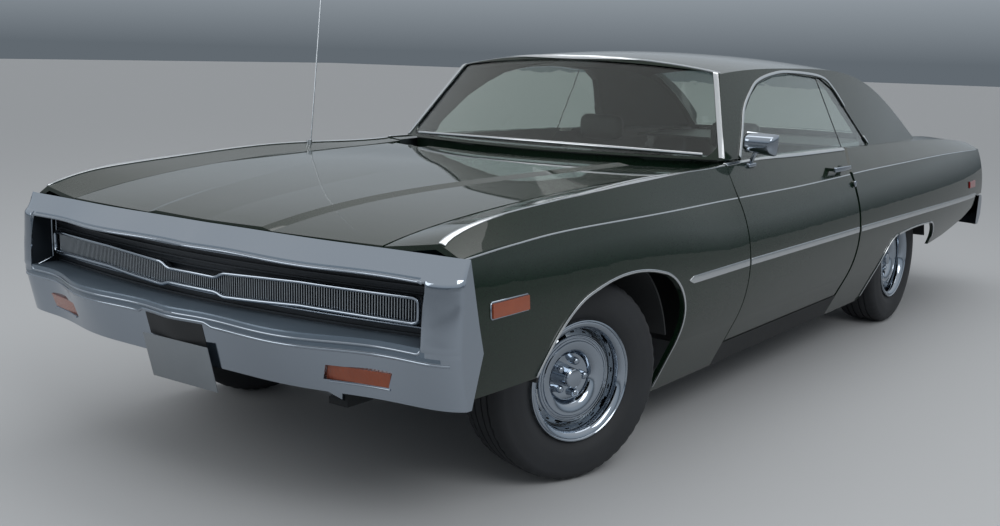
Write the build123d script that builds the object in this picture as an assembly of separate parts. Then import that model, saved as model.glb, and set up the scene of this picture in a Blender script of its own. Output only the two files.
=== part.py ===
from build123d import *
import math
import os

# A full-size two-door hardtop car, in millimetres.
# +X forward, +Y to the driver's left, +Z up; the origin is on the ground under the middle of the car.

# Driving dimensions
WHEELBASE = 3150
FRONT_OVERHANG = 1015
REAR_OVERHANG = 1535
FRONT_AXLE_X = (WHEELBASE + REAR_OVERHANG - FRONT_OVERHANG) / 2
REAR_AXLE_X = FRONT_AXLE_X - WHEELBASE
NOSE_X = FRONT_AXLE_X + FRONT_OVERHANG
TAIL_X = REAR_AXLE_X - REAR_OVERHANG
HALF_WIDTH = 1004.5
ROOF_Z = 1425
BELT_Z = 985
WIDEST_Z = 625
CREASE_Z = 390
ROCKER_Z = 190

# Panels and gaps
PANEL_WALL = 16
DOOR_GAP = 8
LID_GAP = 6
SEAT_GAP = 0.3
PIN_FIT = 0.08

# Wheels and steering
TYRE_RADIUS = 345
TYRE_WIDTH = 230
RIM_RADIUS = 206
BEAD_RADIUS = 190
HALF_TRACK = 780
KINGPIN_Y = 730
KINGPIN_RADIUS = 8
PARKED_STEER = -18
STEER_ARM = 104
STEER_ARM_Z = 236
SPINDLE_RADIUS = 18
WHEEL_NUTS = 5

# Doors
DOOR_FRONT_X = FRONT_AXLE_X - 965
DOOR_REAR_X = FRONT_AXLE_X - 2200
DOOR_BELT_REAR_X = DOOR_REAR_X - 191
DOOR_SILL_Z = 300
DOOR_INNER_Y = HALF_WIDTH - 204.5
DOOR_HINGE_X = DOOR_FRONT_X - 60
DOOR_HINGE_Y = HALF_WIDTH - 19.5

# Glass
GLASS_THICK = 6
GLASS_INSET = 5
GLASS_GAP = 0.3
DOOR_GLASS_GAP = 8

# Clear of everything sideways, above and ahead, for cutting shapes
WIDE = HALF_WIDTH + 145
HIGH = ROOF_Z + 75


def extruded_xz(points, y0, y1):
    face = make_face(Polyline(*[(x, y0, z) for x, z in points], close=True))
    return extrude(face, amount=y1 - y0, dir=(0, 1, 0))


def extruded_yz(points, x0, x1):
    face = make_face(Polyline(*[(x0, y, z) for y, z in points], close=True))
    return extrude(face, amount=x1 - x0, dir=(1, 0, 0))


def extruded_xy(points, z0, z1):
    face = make_face(Polyline(*[(x, y, z0) for x, y in points], close=True))
    return extrude(face, amount=z1 - z0, dir=(0, 0, 1))


def block(x0, x1, y0, y1, z0, z1):
    return Pos((x0 + x1) / 2, (y0 + y1) / 2, (z0 + z1) / 2) * Box(x1 - x0, y1 - y0, z1 - z0)


def tube_between(start, end, radius):
    start, end = Vector(*start), Vector(*end)
    axis = end - start
    plane = Plane(origin=start, z_dir=axis.normalized())
    return plane * Cylinder(radius, axis.length, align=(Align.CENTER, Align.CENTER, Align.MIN))


def cross_pin(x, z, y0, y1, radius):
    return tube_between((x, y0, z), (x, y1, z), radius)


def mirrored(shape):
    return mirror(shape, about=Plane.XZ)


def ring_loft(sections):
    """A loft through closed sections, each a list of points."""
    return Solid.make_loft([Wire(Polyline(*points, close=True).edges()) for points in sections])


# Body side: one row for each station along the car.
SIDE_STATIONS = (
    # x, rocker in, crease in, crease z, widest in, shoulder in, shoulder z, peak in, peak z, seam y, seam z
    (FRONT_AXLE_X + 895, 150, 76, CREASE_Z + 10, 22, 40, 842, 111, 858, 711, 854),
    (FRONT_AXLE_X + 755, 149, 68, CREASE_Z + 6, 15, 42, 868, 106, 918, 716, 886),
    (FRONT_AXLE_X + 565, 148, 62, CREASE_Z + 2, 11, 46, 877, 94, 949, 728, 914),
    (FRONT_AXLE_X + 215, 146, 56, CREASE_Z, 8, 50, 886, 88, 971, 750, 946),
    (FRONT_AXLE_X - 585, 145, 50, CREASE_Z, 1, 66, 878, 112, 992, 782, 972),
    (FRONT_AXLE_X - 1585, 145, 49, CREASE_Z, 0, 72, 876, 156, BELT_Z + 12, 800, BELT_Z + 12),
    (REAR_AXLE_X + 465, 145, 49, CREASE_Z, 1, 74, 890, 168, BELT_Z, 720, BELT_Z + 4),
    (REAR_AXLE_X - 585, 150, 56, CREASE_Z + 10, 14, 84, 892, 186, 968, 668, 974),
    (TAIL_X + 40, 175, 84, CREASE_Z + 60, 60, 108, 876, 190, 914, 650, 926),
)


def side_outline(row):
    x, rocker_in, crease_in, crease_z, wide_in, shoulder_in, shoulder_z, peak_in, peak_z, seam_y, seam_z = row
    return x, {
        "rocker": (HALF_WIDTH - rocker_in, ROCKER_Z),
        "crease": (HALF_WIDTH - crease_in, crease_z),
        "widest": (HALF_WIDTH - wide_in, WIDEST_Z),
        "shoulder": (HALF_WIDTH - shoulder_in, shoulder_z),
        "peak": (HALF_WIDTH - peak_in, peak_z),
        "seam": (seam_y, seam_z),
    }


def side_wire(row, wall=None):
    """A closed section: a bent wall of one thickness, or solid in to the door's inner plane."""
    x, at = side_outline(row)
    p = {name: (x, y, z) for name, (y, z) in at.items()}
    edges = [
        Line(p["rocker"], p["crease"]),
        ThreePointArc(p["crease"], p["widest"], p["shoulder"]),
        Line(p["shoulder"], p["peak"]),
    ]
    if wall is None:
        (peak_y, peak_z), (seam_y, seam_z) = at["peak"], at["seam"]
        top_in = (x, DOOR_INNER_Y, peak_z + (seam_z - peak_z) * (peak_y - DOOR_INNER_Y) / (peak_y - seam_y))
        low_in = (x, DOOR_INNER_Y, ROCKER_Z)
        edges += [Line(p["peak"], top_in), Line(top_in, low_in), Line(low_in, p["rocker"])]
        return Wire(edges)
    inner = {
        "rocker": (x, at["rocker"][0] - wall, ROCKER_Z),
        "crease": (x, at["crease"][0] - wall, at["crease"][1]),
        "widest": (x, at["widest"][0] - wall, WIDEST_Z),
        "shoulder": (x, at["shoulder"][0] - wall, at["shoulder"][1] - wall * 0.5),
        "peak": (x, at["peak"][0] - wall * 0.7, at["peak"][1] - wall),
        "seam": (x, at["seam"][0], at["seam"][1] - wall),
    }
    edges += [
        Line(p["peak"], p["seam"]),
        Line(p["seam"], inner["seam"]),
        Line(inner["seam"], inner["peak"]),
        Line(inner["peak"], inner["shoulder"]),
        ThreePointArc(inner["shoulder"], inner["widest"], inner["crease"]),
        Line(inner["crease"], inner["rocker"]),
        Line(inner["rocker"], p["rocker"]),
    ]
    return Wire(edges)


# The fenders are lofted through the front stations and one near their rear edge, the rest through the rear ones
FENDER_END_ROW = (FRONT_AXLE_X - 985, 145, 49, CREASE_Z, 0, 70, 877, 130, BELT_Z + 10, 791, BELT_Z)
FRONT_ROWS = SIDE_STATIONS[:5] + (FENDER_END_ROW,) + SIDE_STATIONS[5:6]
REAR_ROWS = SIDE_STATIONS[3:]


def side_loft(rows, wall=None):
    return Solid.make_loft([side_wire(row, wall) for row in rows])


def station_loft(rows, points_of):
    """A loft through side stations of a closed section given by a function of the row."""
    sections = []
    for row in rows:
        x, at = side_outline(row)
        sections.append([(x, y, z) for y, z in points_of(at)])
    return ring_loft(sections)


def beside_lids(rows, gap):
    """What lies beside the hood or the deck lid."""
    return station_loft(rows, lambda at: ((at["seam"][0] - gap, WIDEST_Z), (at["seam"][0] - gap, HIGH),
                                          (WIDE, HIGH), (WIDE, WIDEST_Z)))


nose_solid, side_solid = side_loft(FRONT_ROWS), side_loft(REAR_ROWS)
under_side_top = station_loft(REAR_ROWS, lambda at: (
    (at["seam"][0] - 200, at["seam"][1]), at["seam"], at["peak"], at["shoulder"], (WIDE, at["shoulder"][1] - 120),
    (WIDE, CREASE_Z), (at["seam"][0] - 200, CREASE_Z)))
seam_side = beside_lids(REAR_ROWS, SEAT_GAP)

# Front bumper: a loop round the grille, lofted across the car.
BUMPER_HALF = HALF_WIDTH - 6.5
OPENING_HALF = BUMPER_HALF - 98
BUMPER_STATIONS = (
    # y, then how far behind the nose lie the top rear edge, top front edge, lip, bottom and back
    (0, 148, 71, 0, 45, 185),
    (300, 152, 78, 12, 58, 188),
    (600, 165, 98, 58, 98, 200),
    (OPENING_HALF, 187, 128, 118, 150, 250),
    (BUMPER_HALF - 14, 195, 158, 148, 182, 262),
    (BUMPER_HALF, 198, 174, 165, 196, 264),
)
BUMPER_TOP_Z, BUMPER_NOSE_Z, LIP_TOP_Z, LIP_LOW_Z, BUMPER_LOW_Z = 865, 800, 618, 598, 448
OPENING_LOW_Z, OPENING_HIGH_Z = LIP_TOP_Z + 4, BUMPER_NOSE_Z - 4
BUMPER_NECK_Z = 678
BUMPER_BOW_RADIUS = 10400


def both_ways(rows):
    """Rows for y and -y in order, from rows with y from the middle outwards."""
    return [(-row[0],) + tuple(row[1:]) for row in reversed(rows[1:])] + list(rows)


def bumper_section(y, top_in, nose_in, lip_in, low_in, back_in):
    top_x, nose_x, lip_x, low_x, back_x = (NOSE_X - d for d in (top_in, nose_in, lip_in, low_in, back_in))
    points = ((top_x, BUMPER_TOP_Z), (nose_x, BUMPER_NOSE_Z), (lip_x, LIP_TOP_Z), (lip_x, LIP_LOW_Z),
              (low_x, BUMPER_LOW_Z), (low_x - 20, BUMPER_LOW_Z), (back_x, LIP_LOW_Z),
              ((top_x + 2 * back_x) / 3, BUMPER_NECK_Z))
    return [(x, y, z) for x, z in points]


bumper_loop = ring_loft([bumper_section(*row) for row in both_ways(BUMPER_STATIONS)])
front_bumper = bumper_loop - block(NOSE_X - 350, NOSE_X + 50, -OPENING_HALF, OPENING_HALF, OPENING_LOW_Z,
                                   OPENING_HIGH_Z)


def bow_x(y, gap):
    """The seam behind the bumper's top edge, bowed forward in plan."""
    return NOSE_X - 148 - gap - y * y / (2 * BUMPER_BOW_RADIUS)


def nose_in_at(y):
    """How far the bumper's front edge lies behind the nose at y."""
    return 78 + 98 * (abs(y) / OPENING_HALF) ** 1.8


# Outlines in side view, as x and z
FENDER_NOSE = ((NOSE_X - 100, HIGH), (NOSE_X - 100, BUMPER_TOP_Z + 3), (NOSE_X - 201, BUMPER_TOP_Z - 1),
               (NOSE_X - 247, BUMPER_NECK_Z), (NOSE_X - 270, LIP_LOW_Z + 2), (NOSE_X - 257, 535),
               (NOSE_X - 257, BUMPER_LOW_Z + 10))
DOOR_REAR_EDGE = ((DOOR_REAR_X, DOOR_SILL_Z), (DOOR_REAR_X - 8, 800), (DOOR_REAR_X - 30, 888),
                  (DOOR_BELT_REAR_X, BELT_Z + 7), (DOOR_BELT_REAR_X, HIGH))
DOOR_REAR_SLANT = 45
FRONT_ARCH = ((-446, 440), (-395, 592), (-260, 677), (-50, 706), (171, 681), (345, 600), (446, 458))
REAR_ARCH = ((480, 380), (445, 480), (320, 530), (60, 540), (-200, 535), (-320, 500), (-372, 396))


def arch_prism(axle_x, knots):
    """The hole for a wheel in a side panel: arcs through knots of x and z, measured from the axle's x."""
    points = [(axle_x + x, HALF_WIDTH / 2, z) for x, z in knots]
    edges = []
    for first in range(0, len(points) - 2, 2):
        edges.append(ThreePointArc(points[first], points[first + 1], points[first + 2]))
    last, start = points[-1], points[0]
    edges.append(Line(last, (last[0], last[1], 0)))
    edges.append(Line((last[0], last[1], 0), (start[0], start[1], 0)))
    edges.append(Line((start[0], start[1], 0), start))
    return extrude(make_face(edges), amount=HALF_WIDTH, dir=(0, 1, 0))


def plan_prism(front, rear, z0, z1):
    """Between two arcs of x and y, seen from above."""
    (fx0, fy0), (fx1, fy1), (fx2, fy2) = front
    (rx0, ry0), (rx1, ry1), (rx2, ry2) = rear
    edges = [
        ThreePointArc((fx0, fy0, z0), (fx1, fy1, z0), (fx2, fy2, z0)),
        Line((fx2, fy2, z0), (rx0, ry0, z0)),
        ThreePointArc((rx0, ry0, z0), (rx1, ry1, z0), (rx2, ry2, z0)),
        Line((rx2, ry2, z0), (fx0, fy0, z0)),
    ]
    return extrude(make_face(edges), amount=z1 - z0, dir=(0, 0, 1))


def shifted(arc, dx):
    return tuple((x + dx, y) for x, y in arc)


# Fenders and quarters
nose_seam = ((bow_x(WIDE, LID_GAP), -WIDE), (bow_x(0, LID_GAP), 0), (bow_x(WIDE, LID_GAP), WIDE))
nose_far = ((NOSE_X + 100, WIDE), (NOSE_X + 110, 0), (NOSE_X + 100, -WIDE))
nose_cut = plan_prism(nose_seam, nose_far, BUMPER_TOP_Z - 5, HIGH)
fender_edge_x = DOOR_FRONT_X + DOOR_GAP
fender_box = extruded_xz(FENDER_NOSE + ((NOSE_X - 600, BUMPER_LOW_Z + 10), (FRONT_AXLE_X + 165, ROCKER_Z - 10),
                                        (fender_edge_x, ROCKER_Z - 10), (fender_edge_x, HIGH)), 600, WIDE)
front_arch = arch_prism(FRONT_AXLE_X, FRONT_ARCH)
rear_arch = arch_prism(REAR_AXLE_X, REAR_ARCH)
fender_left = (side_loft(FRONT_ROWS, PANEL_WALL) & fender_box) - front_arch - nose_cut

TAIL_LOW_Z, TAIL_TOP_Z = 596, 908
QUARTER_LOW = ((TAIL_X + 35, HIGH), (TAIL_X + 35, TAIL_LOW_Z), (TAIL_X + 228, TAIL_LOW_Z), (TAIL_X + 239, 537),
               (TAIL_X + 498, 479), (TAIL_X + 910, 418), (REAR_AXLE_X - 335, 392), (REAR_AXLE_X, ROCKER_Z - 10))
quarter_edge = tuple((x - DOOR_GAP, z) for x, z in DOOR_REAR_EDGE)
quarter_box = extruded_xz(((DOOR_REAR_X - DOOR_GAP, ROCKER_Z - 10),) + quarter_edge + QUARTER_LOW, 600, WIDE)
quarter_skin = side_loft(REAR_ROWS, PANEL_WALL)
quarter_left = (quarter_skin & quarter_box) - rear_arch
rocker_left = side_solid & block(DOOR_REAR_X - DOOR_GAP, fender_edge_x, DOOR_INNER_Y - 100, WIDE, 0,
                                 DOOR_SILL_Z - DOOR_GAP)

# Doors, as thick as the whole wall, the rear edge slanted so that it swings out.
# Each hangs on two hinges: a cranked strap on the pillar with an eye round a pin inside the door.
door_points = ((DOOR_FRONT_X, HIGH), (DOOR_FRONT_X, DOOR_SILL_Z)) + DOOR_REAR_EDGE
door_outer = make_face(Polyline(*[(x, WIDE, z) for x, z in door_points], close=True))
door_inner = make_face(Polyline(*[(x + (DOOR_REAR_SLANT if x < DOOR_HINGE_X - 500 else 0), DOOR_INNER_Y - 100, z)
                                  for x, z in door_points], close=True))
door_prism = Solid.make_loft([door_outer.wire(), door_inner.wire()], ruled=True)
HINGE_HEIGHTS = (560, 690)
HINGE_STRAP = 26
HINGE_POCKET = HINGE_STRAP + 14
HINGE_PIN = 5
HINGE_EYE = 9
HINGE_CRANK = 75
PILLAR_FRONT_X, PILLAR_REAR_X = DOOR_FRONT_X + 28, DOOR_FRONT_X + 10
door_panel = side_solid & door_prism
door_hinges = None
for height in HINGE_HEIGHTS:
    low, high = height - HINGE_POCKET / 2, height + HINGE_POCKET / 2
    hx, hy = DOOR_HINGE_X, DOOR_HINGE_Y
    door_panel -= extruded_xy(((hx - 15, hy + 10), (hx + 13, hy + 10), (hx + 20, hy + 4), (hx + 80, hy - 20),
                               (hx + 80, hy - HINGE_CRANK - 22), (hx - 15, hy - HINGE_CRANK - 22)), low, high)
    door_panel += tube_between((hx, hy, low - 1), (hx, hy, high + 1), HINGE_PIN)
    base, top = height - HINGE_STRAP / 2, height + HINGE_STRAP / 2
    strap = extruded_xy(((hx - 6, hy), (hx + 6, hy), (hx + 6, hy - HINGE_CRANK + 6),
                         (PILLAR_REAR_X - SEAT_GAP, hy - HINGE_CRANK + 6),
                         (PILLAR_REAR_X - SEAT_GAP, hy - HINGE_CRANK - 6),
                         (hx - 6, hy - HINGE_CRANK - 6)), base, top)
    strap += tube_between((hx, hy, base), (hx, hy, top), HINGE_EYE)
    strap += block(PILLAR_REAR_X - 5, PILLAR_REAR_X - SEAT_GAP, hy - HINGE_CRANK - 24, hy - HINGE_CRANK + 24, base,
                   top)
    strap -= tube_between((hx, hy, base - 1), (hx, hy, top + 1), HINGE_PIN + PIN_FIT)
    door_hinges = strap if door_hinges is None else door_hinges + strap

# Pull handle and lock on the door, on two short posts
HANDLE_X, HANDLE_Z, HANDLE_LENGTH = DOOR_REAR_X + 142, 916, 190
handle_y = HALF_WIDTH - 84
handle = block(HANDLE_X - HANDLE_LENGTH / 2, HANDLE_X + HANDLE_LENGTH / 2, handle_y + 20, handle_y + 30, HANDLE_Z - 9,
               HANDLE_Z + 9)
for end in (-1, 1):
    handle += block(HANDLE_X + end * (HANDLE_LENGTH / 2 - 14) - 12, HANDLE_X + end * (HANDLE_LENGTH / 2 - 14) + 12,
                    handle_y - 30, handle_y + 20, HANDLE_Z - 7, HANDLE_Z + 7)
door_panel += handle
door_panel += cross_pin(DOOR_REAR_X + 12, 839, HALF_WIDTH - 90, HALF_WIDTH - 38, 13)

# Greenhouse: plan outlines at two heights, cut by a crowned roof that falls to the rear deck
HOUSE_LOW_Z, HOUSE_BASE_Z, HOUSE_HIGH_Z = BELT_Z - 45, BELT_Z + 15, ROOF_Z + 35
HOUSE_MID_X = FRONT_AXLE_X - 2285
HOUSE_REAR_X = REAR_AXLE_X - 935
SCREEN_CENTRE_X, SCREEN_CORNER_X, SCREEN_CORNER_Y = FRONT_AXLE_X - 868, FRONT_AXLE_X - 1046, 826
SCREEN_CENTRE_RAKE, SCREEN_CORNER_RAKE, SIDE_LEAN = 0.85, 0.68, 0.452
HOUSE_TAPER = 135


def house_outline(z, inset):
    rise = z - HOUSE_BASE_Z
    centre_x = SCREEN_CENTRE_X - rise * SCREEN_CENTRE_RAKE - inset * 1.5
    corner_x = SCREEN_CORNER_X - rise * SCREEN_CORNER_RAKE - inset * 1.3
    corner_y = SCREEN_CORNER_Y - rise * SIDE_LEAN - inset
    rear_y = corner_y - HOUSE_TAPER
    edges = [
        ThreePointArc((corner_x, -corner_y, z), (centre_x, 0, z), (corner_x, corner_y, z)),
        ThreePointArc((corner_x, corner_y, z), (HOUSE_MID_X, corner_y + 4, z), (HOUSE_REAR_X, rear_y, z)),
        Line((HOUSE_REAR_X, rear_y, z), (HOUSE_REAR_X, -rear_y, z)),
        ThreePointArc((HOUSE_REAR_X, -rear_y, z), (HOUSE_MID_X, -corner_y - 4, z), (corner_x, -corner_y, z)),
    ]
    return Wire(edges)


CROWN_HALF = HALF_WIDTH - 54.5
ROOF_STATIONS = (
    # x, height on the centre line, drop at the crown's half width
    (FRONT_AXLE_X - 735, ROOF_Z - 85, 135),
    (FRONT_AXLE_X - 1215, ROOF_Z - 27, 135),
    (FRONT_AXLE_X - 1585, ROOF_Z - 4, 130),
    (FRONT_AXLE_X - 2035, ROOF_Z, 125),
    (REAR_AXLE_X + 615, ROOF_Z - 13, 115),
    (REAR_AXLE_X + 165, ROOF_Z - 61, 105),
    (REAR_AXLE_X - 245, ROOF_Z - 189, 95),
    (REAR_AXLE_X - 545, ROOF_Z - 347, 90),
    (HOUSE_REAR_X - 10, BELT_Z, 90),
)
BACKLIGHT_STATIONS = (
    # x, height on the centre line, drop at the crown's half width
    (REAR_AXLE_X + 235, ROOF_Z - 50, 108),
    (REAR_AXLE_X + 15, ROOF_Z - 122, 95),
    (REAR_AXLE_X - 235, ROOF_Z - 245, 70),
    (REAR_AXLE_X - 435, ROOF_Z - 370, 38),
    (REAR_AXLE_X - 575, ROOF_Z - 466, 12),
)


def crowned(stations, inset):
    wires = []
    for x, z, drop in stations:
        top, edge_z = z - inset, z - inset - drop
        wires.append(Wire([
            ThreePointArc((x, CROWN_HALF, edge_z), (x, 0, top), (x, -CROWN_HALF, edge_z)),
            Line((x, -CROWN_HALF, edge_z), (x, -CROWN_HALF, 800)),
            Line((x, -CROWN_HALF, 800), (x, CROWN_HALF, 800)),
            Line((x, CROWN_HALF, 800), (x, CROWN_HALF, edge_z)),
        ]))
    return Solid.make_loft(wires)


def house_sides(inset):
    return Solid.make_loft([house_outline(HOUSE_LOW_Z, inset), house_outline(HOUSE_HIGH_Z, inset)], ruled=True)


PILLAR_WALL, ROOF_WALL = 46, 34
GLASS_IN = GLASS_INSET + GLASS_THICK
house_outer = house_sides(0) & crowned(ROOF_STATIONS, 0)
house_inner = house_sides(PILLAR_WALL) & crowned(ROOF_STATIONS, ROOF_WALL)
glass_skin = (house_sides(GLASS_INSET) & crowned(ROOF_STATIONS, GLASS_INSET)) - house_sides(GLASS_IN)
back_skin = crowned(BACKLIGHT_STATIONS, GLASS_INSET) - crowned(BACKLIGHT_STATIONS, GLASS_IN)

# Window outlines: the windscreen as y and z from the front, the side window as x and z, the backlight as x and y
SCREEN_LOW_Z, SCREEN_SIDE_Z, SCREEN_HIGH_Z = BELT_Z + 27, ROOF_Z - 82, ROOF_Z - 45
SCREEN_LOW_Y, SCREEN_HIGH_Y = SCREEN_CORNER_Y - 24, SCREEN_CORNER_Y - 180
SCREEN_CORNER = 40
SIDE_WINDOW = ((FRONT_AXLE_X - 1190, BELT_Z + 15), (FRONT_AXLE_X - 1389, 1190), (FRONT_AXLE_X - 1500, 1255),
               (FRONT_AXLE_X - 1612, 1302), (FRONT_AXLE_X - 1800, 1332), (FRONT_AXLE_X - 2005, 1340),
               (REAR_AXLE_X + 773, 1319), (REAR_AXLE_X + 640, 1262), (REAR_AXLE_X + 390, BELT_Z + 5),
               (REAR_AXLE_X + 390, HOUSE_LOW_Z), (FRONT_AXLE_X - 1190, HOUSE_LOW_Z))
DIVIDE_LOW_X, DIVIDE_HIGH_X = FRONT_AXLE_X - 2355, FRONT_AXLE_X - 2307
DIVIDE_GAP = 10
BACKLIGHT_FRONT_X, BACKLIGHT_BASE_X = REAR_AXLE_X + 195, REAR_AXLE_X - 520
BACKLIGHT = ((BACKLIGHT_FRONT_X, -560), (BACKLIGHT_FRONT_X, 560), (BACKLIGHT_BASE_X, 612), (BACKLIGHT_BASE_X, -612))
SAIL_WALL = 14


def moved_in(face, distance):
    return offset(face, amount=-distance, kind=Kind.INTERSECTION)


def windscreen_prism(gap):
    sketch = make_face([
        ThreePointArc((-SCREEN_HIGH_Y, SCREEN_SIDE_Z), (0, SCREEN_HIGH_Z), (SCREEN_HIGH_Y, SCREEN_SIDE_Z)),
        Line((SCREEN_HIGH_Y, SCREEN_SIDE_Z), (SCREEN_LOW_Y, SCREEN_LOW_Z)),
        Line((SCREEN_LOW_Y, SCREEN_LOW_Z), (-SCREEN_LOW_Y, SCREEN_LOW_Z)),
        Line((-SCREEN_LOW_Y, SCREEN_LOW_Z), (-SCREEN_HIGH_Y, SCREEN_SIDE_Z)),
    ])
    sketch = fillet(sketch.vertices(), SCREEN_CORNER - gap) if gap == 0 else moved_in(
        fillet(sketch.vertices(), SCREEN_CORNER), gap)
    front = Plane(origin=(HOUSE_MID_X + 500, 0, 0), x_dir=(0, 1, 0), z_dir=(1, 0, 0))
    return extrude(front * sketch, amount=1100)


def side_window_prism(gap):
    sketch = moved_in(make_face(Polyline(*SIDE_WINDOW, close=True)), gap) if gap else make_face(
        Polyline(*SIDE_WINDOW, close=True))
    return extrude(Plane(origin=(0, 450, 0), x_dir=(1, 0, 0), z_dir=(0, -1, 0)) * sketch, amount=-500)


def backlight_prism(gap):
    sketch = make_face(Polyline(*BACKLIGHT, close=True))
    return extrude(moved_in(sketch, gap) if gap else sketch, amount=HIGH)


DECK_FRONT_X = BACKLIGHT_BASE_X - 70
DECK_REAR_X = TAIL_X + 58
above_belt = block(HOUSE_REAR_X - 50, SCREEN_CENTRE_X + 50, -WIDE, WIDE, BELT_Z + 19, HIGH)
above_belt += block(HOUSE_REAR_X - 50, DOOR_BELT_REAR_X - 12, -WIDE, WIDE, BELT_Z - 85, BELT_Z + 25)
roof_shell = house_outer - house_inner
sail_wall = (backlight_prism(-SAIL_WALL) - backlight_prism(0)) & house_outer
sail_wall -= crowned(BACKLIGHT_STATIONS, GLASS_IN + 8)
roof_shell += sail_wall
roof_shell = roof_shell & above_belt
roof_shell = roof_shell - windscreen_prism(0) - side_window_prism(0) - mirrored(side_window_prism(0))
roof_shell = roof_shell - backlight_prism(0)
house_foot = under_side_top & block(HOUSE_REAR_X - 60, SCREEN_CORNER_X + 60, 560, WIDE, HOUSE_LOW_Z - 60,
                                    HOUSE_LOW_Z + 90)
roof_shell = roof_shell - house_foot - mirrored(house_foot)
foot_side = seam_side & block(HOUSE_REAR_X - 60, BACKLIGHT_BASE_X, 560, WIDE, BELT_Z - 85, HIGH)
rear_zone = block(HOUSE_REAR_X - 50, BACKLIGHT_BASE_X, -WIDE, WIDE, BELT_Z - 85, HIGH)
roof_shell = roof_shell - (rear_zone - foot_side - mirrored(foot_side))

windscreen = glass_skin & windscreen_prism(GLASS_GAP)
backlight = back_skin & backlight_prism(GLASS_GAP)
quarter_zone = extruded_xz(((HOUSE_REAR_X, HOUSE_LOW_Z - 40), (HOUSE_REAR_X, HIGH), (DIVIDE_HIGH_X - DIVIDE_GAP, HIGH),
                            (DIVIDE_LOW_X - DIVIDE_GAP, HOUSE_LOW_Z - 40)), 400, WIDE)
quarter_glass_left = glass_skin & side_window_prism(GLASS_GAP) & quarter_zone
quarter_glass_left = quarter_glass_left - house_foot
door_zone = extruded_xz(((SCREEN_CENTRE_X, HOUSE_LOW_Z - 40), (DIVIDE_LOW_X, HOUSE_LOW_Z - 40), (DIVIDE_HIGH_X, HIGH),
                         (SCREEN_CENTRE_X, HIGH)), 400, WIDE)
door_glass_left = glass_skin & side_window_prism(DOOR_GLASS_GAP) & door_zone
door_top = side_solid & block(DOOR_BELT_REAR_X - 60, DOOR_FRONT_X + 20, 700, WIDE, HOUSE_LOW_Z - 60, BELT_Z + 60)
door_glass_left = (door_glass_left - Pos(0, 0, SEAT_GAP) * door_top).solids().sort_by(Axis.Z)[-1]

# Hood: raised centre between two creases that spread towards the rear
LID_THICK = 20
LID_LIP = 6
CREASE_FOOT = 42
HOOD_SPAN, DECK_SPAN = HALF_WIDTH - 154.5, HALF_WIDTH - 254.5
HOOD_STATIONS = (
    # x, centre height, crease y, crease height, edge height
    (FRONT_AXLE_X + 895, 863, 238, 866, 857),
    (FRONT_AXLE_X + 755, 894, 262, 897, 886),
    (FRONT_AXLE_X + 565, 921, 285, 925, 914),
    (FRONT_AXLE_X + 215, 953, 345, 956, 946),
    (FRONT_AXLE_X - 585, 984, 470, 983, 973),
    (FRONT_AXLE_X - 985, 993, 540, 992, 983),
)
DECK_STATIONS = (
    # x, centre height, edge height
    (REAR_AXLE_X - 285, BELT_Z + 7, BELT_Z - 7),
    (REAR_AXLE_X - 585, BELT_Z + 3, BELT_Z - 11),
    (REAR_AXLE_X - 1035, BELT_Z - 15, BELT_Z - 30),
    (TAIL_X - 10, BELT_Z - 47, BELT_Z - 63),
)
HOOD_REAR_X, HOOD_REAR_BOW = FRONT_AXLE_X - 918, 168
HOOD_FRONT = ((bow_x(HOOD_SPAN, LID_GAP), -HOOD_SPAN), (bow_x(0, LID_GAP), 0), (bow_x(HOOD_SPAN, LID_GAP), HOOD_SPAN))
HOOD_REAR = ((HOOD_REAR_X, HOOD_SPAN), (HOOD_REAR_X + HOOD_REAR_BOW, 0), (HOOD_REAR_X, -HOOD_SPAN))


def lid_volume(rows_to_points):
    sections = []
    for x, tops in rows_to_points:
        top = [(x, y, z) for y, z in tops] + [(x, -y, z) for y, z in tops[-2::-1]]
        sections.append(top + [(px, py, pz - LID_THICK) for px, py, pz in reversed(top)])
    return ring_loft(sections)


hood_loft = lid_volume([(x, ((HOOD_SPAN, edge_z), (crease_y + CREASE_FOOT, crease_z - 9), (crease_y, crease_z),
                             (0, centre_z))) for x, centre_z, crease_y, crease_z, edge_z in HOOD_STATIONS])
deck_loft = lid_volume([(x, ((DECK_SPAN, edge_z), (DECK_SPAN / 2, centre_z - 4), (0, centre_z)))
                        for x, centre_z, edge_z in DECK_STATIONS])
hood_panel = hood_loft & plan_prism(HOOD_FRONT, HOOD_REAR, BELT_Z - 285, HIGH)
hood_side, deck_side = beside_lids(FRONT_ROWS, LID_GAP), beside_lids(REAR_ROWS, LID_GAP)
hood_panel = hood_panel - hood_side - mirrored(hood_side)
decklid_panel = deck_loft & block(DECK_REAR_X, DECK_FRONT_X, -WIDE, WIDE, BELT_Z - 285, HIGH)
decklid_panel = decklid_panel - deck_side - mirrored(deck_side)

# Cowl: a sunk tray behind the hood with a riser under the windscreen, the firewall and the hinge pillars
COWL_HALF = 784
COWL_TRAY_Z, COWL_TRAY_THICK = BELT_Z - 49, 14
RISER_TOP_Z = SCREEN_LOW_Z - 8.3
FLOOR_Z, FLOOR_THICK = 265, 14
FIREWALL_X, FIREWALL_THICK = FRONT_AXLE_X - 955, 18
GEARBOX_RADIUS, GEARBOX_Z = 110, 330
cowl_front = tuple((x, y * COWL_HALF / HOOD_SPAN) for x, y in shifted(HOOD_REAR, -LID_GAP - 2))
cowl_back = ((SCREEN_CORNER_X - 89, COWL_HALF), (SCREEN_CENTRE_X - 87, 0), (SCREEN_CORNER_X - 89, -COWL_HALF))
riser_front = ((SCREEN_CORNER_X - 28, -COWL_HALF), (SCREEN_CENTRE_X - 19, 0), (SCREEN_CORNER_X - 28, COWL_HALF))
tray = plan_prism(tuple(reversed(cowl_front)), cowl_back, COWL_TRAY_Z, COWL_TRAY_Z + COWL_TRAY_THICK)
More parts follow.
